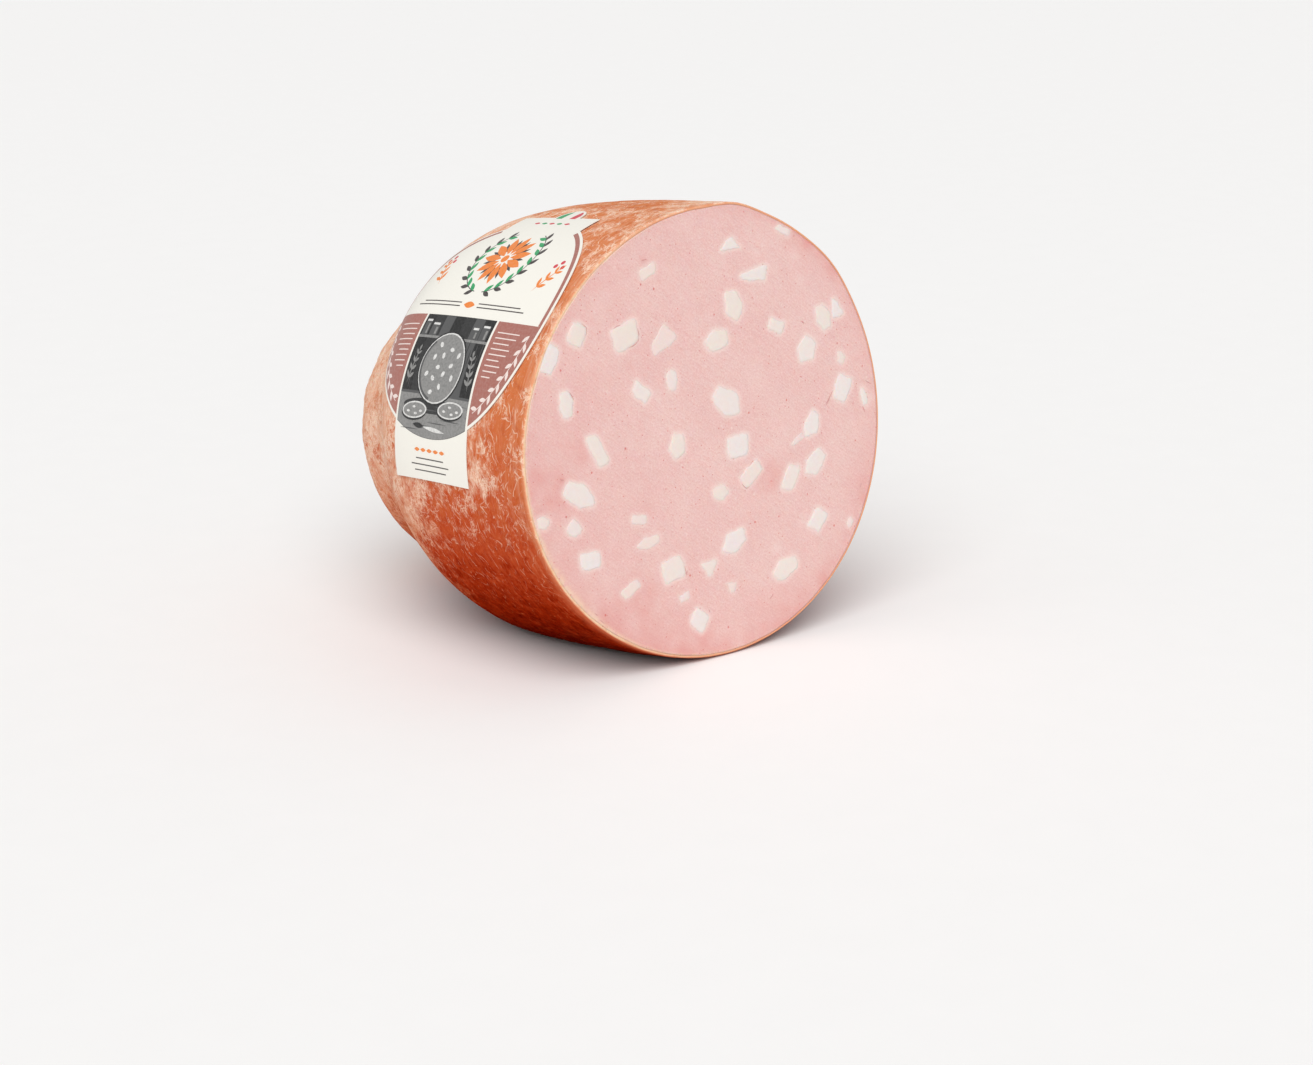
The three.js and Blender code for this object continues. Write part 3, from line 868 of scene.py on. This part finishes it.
def divided(outline, step):
    """Splits the sides of a closed outline that are longer than a step."""
    points = []
    for start, end in zip(outline, np.roll(outline, -1, axis=0)):
        count = max(1, math.ceil(np.linalg.norm(end - start) / step))
        points += [start + (end - start) * i / count for i in range(count)]
    return np.array(points)


def softened(outline):
    """Splits an outline into short sides, rounds it further on a large cube, and makes its course uneven."""
    outline = divided(outline, 0.7)
    size = np.ptp(outline, axis=0).max()
    for _ in range(int(np.clip(1.6 * (size - 6), 2, 14))):
        outline = (np.roll(outline, 1, axis=0) + 2 * outline + np.roll(outline, -1, axis=0)) / 4
    middle = outline.mean(axis=0)
    outline = middle + (outline - middle) * FAT_REGROWTH
    away = outline - middle
    places = stacked(*outline.T)
    wander = 0.85 * ripple(places, 4.6, 6.0) + 0.26 * ripple(places, 1.4, 2.0)
    return outline + away / np.linalg.norm(away, axis=1, keepdims=True) * wander[:, None]


def outline_distance(places, outline):
    """How far places lie outside a closed outline, below zero inside it."""
    start, end = outline, np.roll(outline, -1, axis=0)
    side = end - start
    offset = places[:, None] - start[None]
    share = np.clip((offset * side).sum(-1) / (side ** 2).sum(-1), 0, 1)
    nearest = np.linalg.norm(offset - share[..., None] * side, axis=-1).min(axis=1)
    x, y = places[:, None, 0], places[:, None, 1]
    crosses = (start[:, 1] > y) != (end[:, 1] > y)
    rise = np.where(side[:, 1] == 0, 1e-9, side[:, 1])
    reach = start[:, 0] + (y - start[:, 1]) / rise * side[:, 0]
    inside = (crosses & (x < reach)).sum(axis=1) % 2 == 1
    return np.where(inside, -nearest, nearest)


def face_relief(across, up):
    """The knife leaves the cut slightly wavy, with faint ridges down one diagonal."""
    ridges = stacked(0.08 * (across + up), across - up)
    return 0.09 * ripple(stacked(across, up), 18.0, 3.0) + 0.03 * ripple(ridges, 2.6, 1.0)


def spot_sum(across, up, spots):
    return sum(power * hill(across, x, reach) * hill(up, y, reach) for x, y, reach, power in spots)


def fat_nearness(x, y, outlines):
    """Where the paste is paled by fat beside it or under it."""
    near = spot_sum(x, y, PALE_SPOTS)
    for index, outline in enumerate(outlines):
        middle = outline.mean(axis=0)
        close = np.hypot(x - middle[0], y - middle[1]) < 16
        away = outline_distance(np.stack([x, y], axis=-1)[close], outline)
        halo = hill(np.maximum(away, 0), 0, 1.2) * (1 - FAT_VEILED.get(index, 0))
        near[close] = np.maximum(near[close], halo)
    return np.clip(near, 0, 1)


def paste_rosiness(x, y, turn, from_rim):
    """Where the paste is rosier: near its rim, most of all below, down one side, and in spots."""
    rim = 0.42 * (0.7 - 0.5 * np.sin(turn)) * np.exp(-from_rim / 9.0)
    upper_rim = 0.4 * hill(angle_between(turn, ROSY_RIM_TURN), 0, 0.5) * hill(from_rim, 0, 5)
    rosy = rim + 0.14 * smoothstep(-x, -20, 100) + spot_sum(x, y, ROSY_SPOTS) + upper_rim
    return np.clip(rosy * (0.75 + 0.5 * ripple(stacked(x, y), 7.0, 8.0)), 0, 1)


def make_paste(material, outlines):
    angles = np.linspace(-math.pi, math.pi, PASTE_SIDES, endpoint=False)
    rim = (1 - edge_width(angles) / CUT_RADIUS) * casing_radius(0.0, angles) - 0.05
    shares = np.linspace(1, 0, PASTE_RINGS, endpoint=False)
    across = np.outer(shares, rim * np.cos(angles))
    up = np.outer(shares, rim * np.sin(angles))
    sunk = PASTE_SUNK - 0.2 * np.exp(-(1 - shares) * CUT_RADIUS / 0.8)[:, None]
    top = face_point(across, up, face_relief(across, up) - sunk)
    back = face_point(across[0], up[0], -PASTE_DEPTH)
    middles = [face_point(0, 0, -PASTE_DEPTH), face_point(0, 0, -PASTE_SUNK)]
    points = np.concatenate([back, top.reshape(-1, 3), middles])

    x = np.concatenate([across[0], across.ravel(), [0, 0]])
    y = np.concatenate([up[0], up.ravel(), [0, 0]])
    turn = np.arctan2(y, x)
    from_rim = np.interp(turn, angles, rim, period=2 * math.pi) - np.hypot(x, y)
    cream_width = 0.7 + 2.2 * hill(angle_between(turn, CREAM_WIDEST), 0, 0.35)
    cream = 0.75 * smoothstep(np.cos(turn - CREAMY_TURN), -0.3, 0.5) * hill(from_rim, 0, cream_width)
    return make_piece(
        "paste", points, capped_tube(PASTE_RINGS + 1, PASTE_SIDES), [material], "meat", face=stacked(x, y),
        near_fat=fat_nearness(x, y, outlines), rosy=paste_rosiness(x, y, turn, from_rim), cream=cream)


def fat_cube(outline, veiled):
    """A cube's places and faces, and how far inside its edge each place is."""
    # Each ring of the cube: how far it lies inside the outline in mm, and its height over the paste
    rings = [(0.0, -FAT_DEPTH), (0.0, -0.4), (0.05, -0.03), (0.3, 0.35), (0.75, 0.7), (1.3, 0.92), (2.0, 1.0)]
    middle = outline.mean(axis=0)
    reach = np.linalg.norm(outline - middle, axis=1).mean()
    proud = FAT_PROUD * (1 - 0.6 * veiled)
    points, inside = [], []
    for inset, height in rings:
        ring = middle + (outline - middle) * max(0.15, 1 - inset / reach)
        out = face_relief(*ring.T) - PASTE_SUNK + (height * proud if height > 0 else height)
        points.extend(face_point(*ring.T, out))
        inside += [inset / rings[-1][0]] * len(outline)
    crown = face_relief(*middle[:, None])[0] - PASTE_SUNK + 1.05 * proud
    points += [face_point(*middle, -FAT_DEPTH), face_point(*middle, crown)]
    return points, capped_tube(len(rings), len(outline)), inside + [0.0, 1.0]


def make_fat(material, outlines):
    """Cubes of fat, each a little proud of the paste, with its edge rounded over."""
    cubes, inside, clear, cool = [], [], [], []
    for index, outline in enumerate(outlines):
        veiled = FAT_VEILED.get(index, 0)
        points, faces, inward = fat_cube(outline, veiled)
        cubes.append((points, faces))
        inside += inward
        clear += [1 - veiled] * len(points)
        cool += [0.5 + 0.5 * math.sin(2.4 * index + outline[:, 0].mean() / 40)] * len(points)
    points, faces = joined(cubes)
    x, _, z = np.array(points).T
    face = stacked(x, (z - CUT_HEIGHT) / math.cos(CUT_LEAN))
    return make_piece("fat_cubes", points, faces, [material], "fat", face=face, inside=inside, clear=clear,
                      cool=cool)


def groove(sides):
    """A thin closed strip across the paste between two lines of places: its points and faces."""
    points = []
    for x, y in sides:
        for out in (-0.5, 0.05):
            points.extend(face_point(x, y, face_relief(x, y) - PASTE_SUNK + out))
    count = len(points) // 4
    low, top, low_other, top_other = (count * part for part in range(4))
    faces = [(top + i, low + i, low_other + i, top_other + i) for i in (0, count - 1)]
    for i in range(count - 1):
        for a, b in ((top, top_other), (top_other, low_other), (low_other, low), (low, top)):
            faces.append((a + i, b + i, b + i + 1, a + i + 1))
    return points, faces


def gap_sides(outline, heading, span, steps, thick):
    """The two sides of a crescent beside a cube."""
    middle = outline.mean(axis=0)
    away = outline - middle
    turns = math.radians(heading) + steps * math.radians(span)
    headings = np.arctan2(away[:, 1], away[:, 0])
    order = np.argsort(headings)
    inner = np.interp(turns, headings[order], np.hypot(*away.T)[order], period=2 * math.pi) + 0.05
    return [(middle[0] + reach * np.cos(turns), middle[1] + reach * np.sin(turns))
            for reach in (inner, inner + 0.4 * thick)]


def nick_sides(mark, steps, thick):
    """The two sides of a straight nick."""
    across, up, heading, length, width = mark
    ahead = toward(heading)
    return [(across + steps * length * ahead[0] - half * thick * ahead[1],
             up + steps * length * ahead[1] + half * thick * ahead[0]) for half in (-width / 2, width / 2)]


def make_gaps(material, outlines):
    """Thin crescents where the paste has shrunk away from a cube, and nicks that the knife left, each a
    darker strip standing on the paste as painted shade.
    """
    steps = np.linspace(-0.5, 0.5, 13)
    thick = np.cos(steps * math.pi) ** 0.7 + 0.04
    strips = [gap_sides(outlines[index], heading, span, steps, thick) for index, heading, span in FAT_GAPS]
    strips += [nick_sides(mark, steps, thick) for mark in KNIFE_MARKS]
    points, faces = joined(map(groove, strips))
    return make_piece("paste_gap_shade", points, faces, [material], "meat", face=np.array(points) * (1, 0, 1))


# Flat shapes on the label: x runs backward along the casing and y down round it, from the anchor

def arc(centre, radius, start, end, steps=24):
    """Points along a circle's arc, with its angles in degrees."""
    turns = np.radians(np.linspace(start, end, steps))
    return np.stack([centre[0] + radius * np.cos(turns), centre[1] + radius * np.sin(turns)], axis=-1)


def oval(centre, length, width, turn=0.0, steps=28):
    turns = np.linspace(0, 2 * math.pi, steps, endpoint=False)
    return turned(length / 2 * np.cos(turns), width / 2 * np.sin(turns), turn) + centre


def leaf(centre, length, width, turn=0.0):
    """A pointed leaf between two arcs."""
    share = np.linspace(0, 1, 9)
    x = length * (share - 0.5)
    y = width / 2 * np.sin(math.pi * share)
    return turned(np.append(x, x[-2:0:-1]), np.append(y, -y[-2:0:-1]), turn) + centre


def oblong(left, top, right, bottom):
    return np.array([(left, top), (right, top), (right, bottom), (left, bottom)], float)


def rule(start, end, height, thick):
    """A line across the label."""
    return oblong(min(start, end), height - thick / 2, max(start, end), height + thick / 2)


def ring_part(centre, outer, inner, start, end):
    return np.concatenate([arc(centre, outer, start, end), arc(centre, inner, end, start)])


def disc_angle(half):
    """Where the label's disc meets a line beside its middle, in degrees from the +X side."""
    return math.degrees(math.acos(half / DISC_RADIUS))


def label_outline():
    half = STRIP_WIDTH / 2
    meets = disc_angle(half)
    return np.concatenate([
        [(-half, -STRIP_ABOVE)], arc((-TAB_AHEAD, -STRIP_ABOVE), TAB_RADIUS, 180, 360, 20),
        [(half, -STRIP_ABOVE)], arc(DISC_MIDDLE, DISC_RADIUS, -meets, meets, 48),
        [(half, STRIP_BELOW), (-half, STRIP_BELOW)],
        arc(DISC_MIDDLE, DISC_RADIUS, 180 - meets, 180 + meets, 48),
    ])


def casing_walk():
    """Distances along the casing's surface from the cut, at the label's angle, and how far behind each is."""
    behind = np.arange(0, 0.95 * LENGTH, 0.5)
    steps = np.linalg.norm(np.diff(casing_point(behind, LABEL_ANGLE), axis=0), axis=1)
    return np.concatenate([[0], np.cumsum(steps)]), behind


WALK = casing_walk()


def wrap_label(flat, height):
    """Lays flat places on the casing, at a height over it."""
    x, y = flat.T
    backward = x * math.cos(LABEL_TURN) + y * math.sin(LABEL_TURN)
    down = y * math.cos(LABEL_TURN) - x * math.sin(LABEL_TURN)
    behind = np.interp(LABEL_BEHIND_CUT + backward, *WALK)
    angle = LABEL_ANGLE + down / casing_radius(behind, LABEL_ANGLE)
    return casing_point(behind, angle) + casing_normal(behind, angle) * height


def slab(outline, low, high):
    """A thin closed sheet on the casing between two heights: its places, faces and flat places."""
    outline = divided(outline, PAPER_GRID)
    columns, rows = (np.arange(a, b, PAPER_GRID) for a, b in zip(outline.min(axis=0), outline.max(axis=0)))
    grid = np.stack(np.meshgrid(columns, rows), axis=-1).reshape(-1, 2)
    grid = grid[outline_distance(grid, outline) < -0.3 * PAPER_GRID]
    places = [Vector(place) for place in np.concatenate([outline, grid])]
    flat, _, triangles, *_ = delaunay_2d_cdt(places, [], [[*range(len(outline))]], 1, 1e-4)
    flat = np.array([tuple(place) for place in flat])
    count = len(flat)
    sides = [side for triangle in triangles for side in zip(triangle, triangle[1:] + triangle[:1])]
    shared = set(sides)
    rim = [[a, a + count, b + count, b] for a, b in sides if (b, a) not in shared]
    faces = triangles + [[corner + count for corner in triangle[::-1]] for triangle in triangles] + rim
    points = np.concatenate([wrap_label(flat, high), wrap_label(flat, low)])
    return points, faces, np.tile(stacked(*flat.T), (2, 1))


def make_label_piece(name, points, faces, materials, flat, replaces=None):
    """A piece of the label, whose cut edges stay crisp in the shading."""
    piece = make_piece(name, points, faces, materials, "paper", replaces, flat=flat)
    piece.data.set_sharp_from_angle(angle=math.radians(60))
    return piece


def make_paper(material):
    points, faces, flat = slab(label_outline(), PAPER_BASE, PAPER_TOP)
    return make_label_piece("paper_label", points, faces, [material], flat, "label")


# The print: each item is an ink, a layer and an outline

def border_print():
    """The rose-brown ring round the upper half and the two fields that it runs into."""
    outer = DISC_RADIUS - BORDER
    line_turn = math.degrees(math.asin((BAND_LINE + DISC_ABOVE) / outer))
    field_turn = math.degrees(math.acos(FIELD_START / outer))
    strip_turn = 1.5 - disc_angle(STRIP_WIDTH / 2)
    field = np.concatenate([[(FIELD_START, BAND_LINE)], arc(DISC_MIDDLE, outer, line_turn, field_turn)])
    ring = ring_part(DISC_MIDDLE, outer, outer - RING_WIDTH, strip_turn, line_turn)
    return [("rose", 1, part * (flip, 1)) for flip in (1, -1) for part in (field, ring)]


def tab_print():
    """Two stripes on the round tab, with the paper between them."""
    centre = (-TAB_AHEAD, -STRIP_ABOVE)
    foot = centre[1] + 1.0
    items = []
    for ink, start, end in (("red", 198, 247), ("green", 293, 342)):
        edge = arc(centre, TAB_RADIUS - 1.3, start, end, 12)
        items.append((ink, 1, np.concatenate([edge, [(edge[-1][0], foot), (edge[0][0], foot)]])))
    return items


def rosette(centre, radius, petals):
    """A flower of long orange petals with short dark ones between them."""
    items = []
    for petal in range(petals):
        turn = 360 * petal / petals
        between = turn + 180 / petals
        place = centre + toward(turn) * radius * 0.6
        items.append(("orange", 2, leaf(place, radius * 0.8, radius * 0.3, turn)))
        place = centre + toward(between) * radius * 0.62
        items.append(("ink", 1, leaf(place, radius * 0.5, radius * 0.12, between)))
    return items + [("orange", 1, oval(centre, radius * 0.3, radius * 0.3))]


def sprig(start, heading, length, pairs, ink, layer=1):
    """A stem with pairs of leaves along it."""
    start = np.array(start, float)
    ahead = toward(heading)
    items = [(ink, layer, leaf(start + ahead * length / 2, length, 0.7, heading))]
    for pair in range(pairs):
        foot = start + ahead * length * (pair + 0.6) / (pairs + 0.3)
        size = length / (pairs + 0.6) * (1.25 - 0.12 * pair)
        for turn in (heading - 42, heading + 42):
            items.append((ink, layer, leaf(foot + toward(turn) * size / 2, size, size * 0.36, turn)))
    items.append((ink, layer, leaf(start + ahead * length * 1.04, length / pairs * 0.8, 1.3, heading)))
    return items


def wreath(centre, radius, leaves):
    """Two boughs that rise from the foot of a circle and leave it open on top."""
    items = []
    for side in (-1, 1):
        bough = sorted((90 + side * 8, 90 + side * 150))
        items.append(("ink", 1, ring_part(centre, radius + 0.25, radius - 0.25, *bough)))
        for step in range(leaves):
            turn = 90 + side * (12 + 140 * step / leaves)
            for lean, ink in ((34, "ink"), (-34, "green")):
                heading = turn + side * (90 - lean)
                place = centre + toward(turn) * radius + toward(heading) * 3.0
                items.append((ink, 2, leaf(place, 6.4, 2.5, heading)))
    return items


def upper_print():
    """A large rosette in an open wreath, with a row of lozenges over it, a double rule under it, and a sprig
    and berries on each side."""
    centre = np.array([0.0, -37.5])
    items = rosette(centre, 16.5, 11) + wreath(centre, 21.5, 8)
    for index, place in enumerate(np.linspace(-13.5, 10.5, 5)):
        items.append((("red", "green")[index % 2], 1, leaf((place, -67.4), 4.4, 1.8)))
    for height, end in ((-9.6, 40), (-7.6, 44)):
        items += [("ink", 1, rule(side * 7, side * end, height, 0.6)) for side in (-1, 1)]
    items.append(("orange", 1, leaf((0, -8.6), 9.0, 3.6)))
    for side in (-1, 1):
        items += sprig((side * 39.0, -19.5), 90 - 150 * side, 17, 3, "orange")
        for across, down in ((0, 0), (3, 2.6), (-2.6, 3)):
            items.append(("red", 1, oval((side * 45.0 + across, -38.0 + down), 2.6, 2.6)))
    return items


def panel_part(top, radius):
    """The part of a disc under a line, as wide as the panel."""
    turn = disc_angle(PANEL_HALF)
    foot = arc(DISC_MIDDLE, radius, turn, 180 - turn, 30)
    return np.concatenate([[(-PANEL_HALF, top), (PANEL_HALF, top)], foot])


def planks():
    """Upright planks, each with a few lines of grain."""
    items = []
    edges = np.linspace(-PANEL_HALF, PANEL_HALF, 8)
    for index, (left, right) in enumerate(zip(edges, edges[1:])):
        tone = ("grey_deep", "grey_mid", "grey_dark")[index % 3]
        items.append((tone, 2, oblong(left + 0.3, BAND_LINE + 0.3, right - 0.3, TABLE_EDGE)))
        for line in range(4):
            place = (left + 1.6 + 1.4 * line, 13.0 + (7 * line + 5 * index) % 19)
            items.append(("grey_dark" if index % 3 else "grey_mid", 3, leaf(place, 9.0, 0.5, 90)))
    return items


def jar(x, width, height):
    """A lidded jar on the shelf, with light down one side."""
    top = SHELF - height
    return [
        ("grey_mid", 4, oblong(x - width / 2, top, x + width / 2, SHELF)),
        ("grey_pale", 4, oblong(x - 0.42 * width, top - 1.1, x + 0.42 * width, top)),
        ("grey_light", 5, oblong(x - 0.36 * width, top + 1.2, x - 0.1 * width, SHELF - 0.8)),
    ]


def table():
    """The table with its grain, and the shade on it."""
    items = [("grey_light", 2, panel_part(TABLE_EDGE, DISC_RADIUS - 0.2))]
    items.append(("grey_mid", 3, oblong(-PANEL_HALF, TABLE_EDGE - 0.8, PANEL_HALF, TABLE_EDGE + 0.4)))
    for line in range(8):
        items.append(("grey_mid", 3, leaf(((11 * line) % 40 - 20, 40.5 + 1.9 * line), 16.0, 0.5)))
    return items + [("grey_dark", 3, oval((2, 42.5), 44, 7))]


def cut_round(centre):
    """The cut round that stands on the table, with its cubes spread evenly in a spiral."""
    items = [
        ("grey_deep", 5, oval(centre, 36, 36)), ("grey_pale", 6, oval(centre, 34.4, 34.4)),
        ("grey_light", 7, oval(centre, 33, 33)), ("grey_mid", 8, ring_part(centre, 16.5, 15.2, -50, 75)),
    ]
    for index in range(13):
        place = centre + toward(137.5 * index) * 3.7 * math.sqrt(index + 0.4)
        items.append(("grey_pale", 9, oval(place, 3.4, 2.3, 50 * index, 6)))
    return items


def lying_round(x, y):
    """A thin round that lies on the table, with its shade under it."""
    items = [
        ("grey_deep", 9, oval((x + 0.4, y + 0.7), 20.6, 8.4, 4)), ("grey_pale", 10, oval((x, y), 20, 8, 4)),
        ("grey_light", 11, oval((x, y), 18, 6.6, 4)),
    ]
    for across, down in ((-5.5, 0.2), (-1.5, 1.6), (0.5, -1.4), (4.8, 0.8)):
        items.append(("grey_pale", 12, oval((x + across, y + down), 2.6, 1.2, 0, 8)))
    return items


def panel_print():
    """A grey still life: a cut round and two thin ones on a table, with a knife and leaves, before upright
    planks and a shelf with jars."""
    items = [("grey_dark", 1, panel_part(BAND_LINE, DISC_RADIUS))] + planks()
    items.append(("grey_light", 3, oblong(-PANEL_HALF, SHELF, PANEL_HALF, SHELF + 1.3)))
    for x, width, height in ((-23.5, 6.0, 6.6), (-16.0, 5.0, 5.0), (17.0, 6.4, 5.6), (24.4, 5.0, 7.2)):
        items += jar(x, width, height)
    items += table() + cut_round(np.array([0, 24])) + lying_round(-15, 43) + lying_round(14, 45)
    items.append(("grey_pale", 10, leaf((-3, 53.0), 18.0, 2.0, -5)))
    items.append(("grey_deep", 10, leaf((9.5, 51.9), 9.0, 2.4, -5)))
    for x, heading in ((-25, -80), (25, 260)):
        items += sprig((x, 33), heading, 17, 4, "grey_light", 5)
    return items


def foot_print():
    """Plain rules and a row of orange lozenges on the strip's end."""
    items = [("orange", 1, leaf((place, 63.0), 4.4, 1.8)) for place in np.linspace(-10, 10, 5)]
    for half, height in ((11, 67.0), (15, 69.8), (12.5, 72.6)):
        items.append(("ink", 1, rule(-half, half, height, 0.56)))
    return items


def field_print():
    """Pale rules in the upper corners of the two fields, and a leafy bough along each arc."""
    bough = DISC_RADIUS - 5.4
    items = []
    for side in (-1, 1):
        items.append(("pale_rose", 2, ring_part(DISC_MIDDLE, bough + 0.2, bough - 0.2, 9, 56) * (side, 1)))
        for row in range(9):
            length = 17 - 0.9 * row - 3 * (row % 3 == 2)
            items.append(("pale_rose", 2, rule(side * 33, side * (33 + length), 3.475 + 2.7 * row, 0.55)))
        for step in range(13):
            turn = 11 + 3.6 * step
            lean = 1 if step % 2 else -1
            place = DISC_MIDDLE + toward(turn) * (bough + 1.5 * lean)
            items.append(("pale_rose", 3, leaf(place * (side, 1), 5.0, 2.0, side * (turn + 90 - 34 * lean))))
    return items


def make_print():
    """All the ink, as thin sheets in layers on the paper. The greys are mottled like an old picture."""
    materials = []
    for name, code in INKS.items():
        uneven = ("4A4A4A", 0.4) if name.startswith("grey") else ("FFFFFF", 0.07)
        materials.append(make_paper_material("print_" + name, code, *uneven))
    sheets, flat, worn = [], [], []
    for make_items in (border_print, tab_print, upper_print, panel_print, foot_print, field_print):
        for ink, layer, outline in make_items():
            points, faces, flat_places = slab(outline, PAPER_TOP - INK_SUNK, PAPER_TOP + INK_HEIGHT * layer)
            sheets.append((points, faces))
            flat.extend(flat_places)
            worn += [[*INKS].index(ink)] * len(faces)
    piece = make_label_piece("label_print", *joined(sheets), materials, flat)
    piece.data.polygons.foreach_set("material_index", worn)
    return piece


# The stage

def make_floor():
    mesh = bpy.data.meshes.new("floor")
    half = FLOOR_WIDTH / 2
    corners = [(-half, -half, 0), (half, -half, 0), (half, half, 0), (-half, half, 0)]
    mesh.from_pydata(corners, [], [(0, 1, 2, 3)])
    material = new_material("floor", Roughness=0.7)
    position = Field(add_node(material.node_tree, "NewGeometry"), "Position")
    mesh.materials.append(link_surface(material, blend(cloudy(position, 40.0, 2), "F2F1F0", "F4F3F2")))
    add_object("floor", mesh)


def make_lights():
    """A plain white studio with one broad soft light."""
    world = bpy.data.worlds.new("studio")
    world.use_nodes = True
    background = world.node_tree.nodes["Background"]
    background.inputs["Color"].default_value = (1, 1, 1, 1)
    background.inputs["Strength"].default_value = STUDIO_STRENGTH
    bpy.context.scene.world = world
    data = bpy.data.lights.new("key", "SUN")
    data.energy = KEY_STRENGTH
    data.angle = KEY_WIDTH
    aim(add_object("key", data), -KEY_FROM)


def make_camera():
    data = bpy.data.cameras.new("camera")
    data.sensor_fit = "HORIZONTAL"
    data.sensor_width = SENSOR_WIDTH
    data.lens = CAMERA_LENS
    camera = add_object("camera", data)
    camera.location = (CAMERA_PLACE + SHIFT) * METRE
    aim(camera, CAMERA_LOOKS)
    bpy.context.scene.camera = camera
    bpy.context.scene.view_settings.view_transform = "Standard"


draw = make_draw(7)
fat_outlines = [softened(rounded(fat_outline(cube, draw))) for cube in FAT_CUBES]

make_camera()
casing_material = make_casing_material()
make_casing(casing_material)
make_knob(casing_material)
make_paste(make_paste_material(), fat_outlines)
make_fat(make_fat_material(), fat_outlines)
make_gaps(make_gap_shade_material(), fat_outlines)
make_paper(make_paper_material("paper", "EFECE3", "E4DED2", 0.07))
make_print()
make_floor()
make_lights()
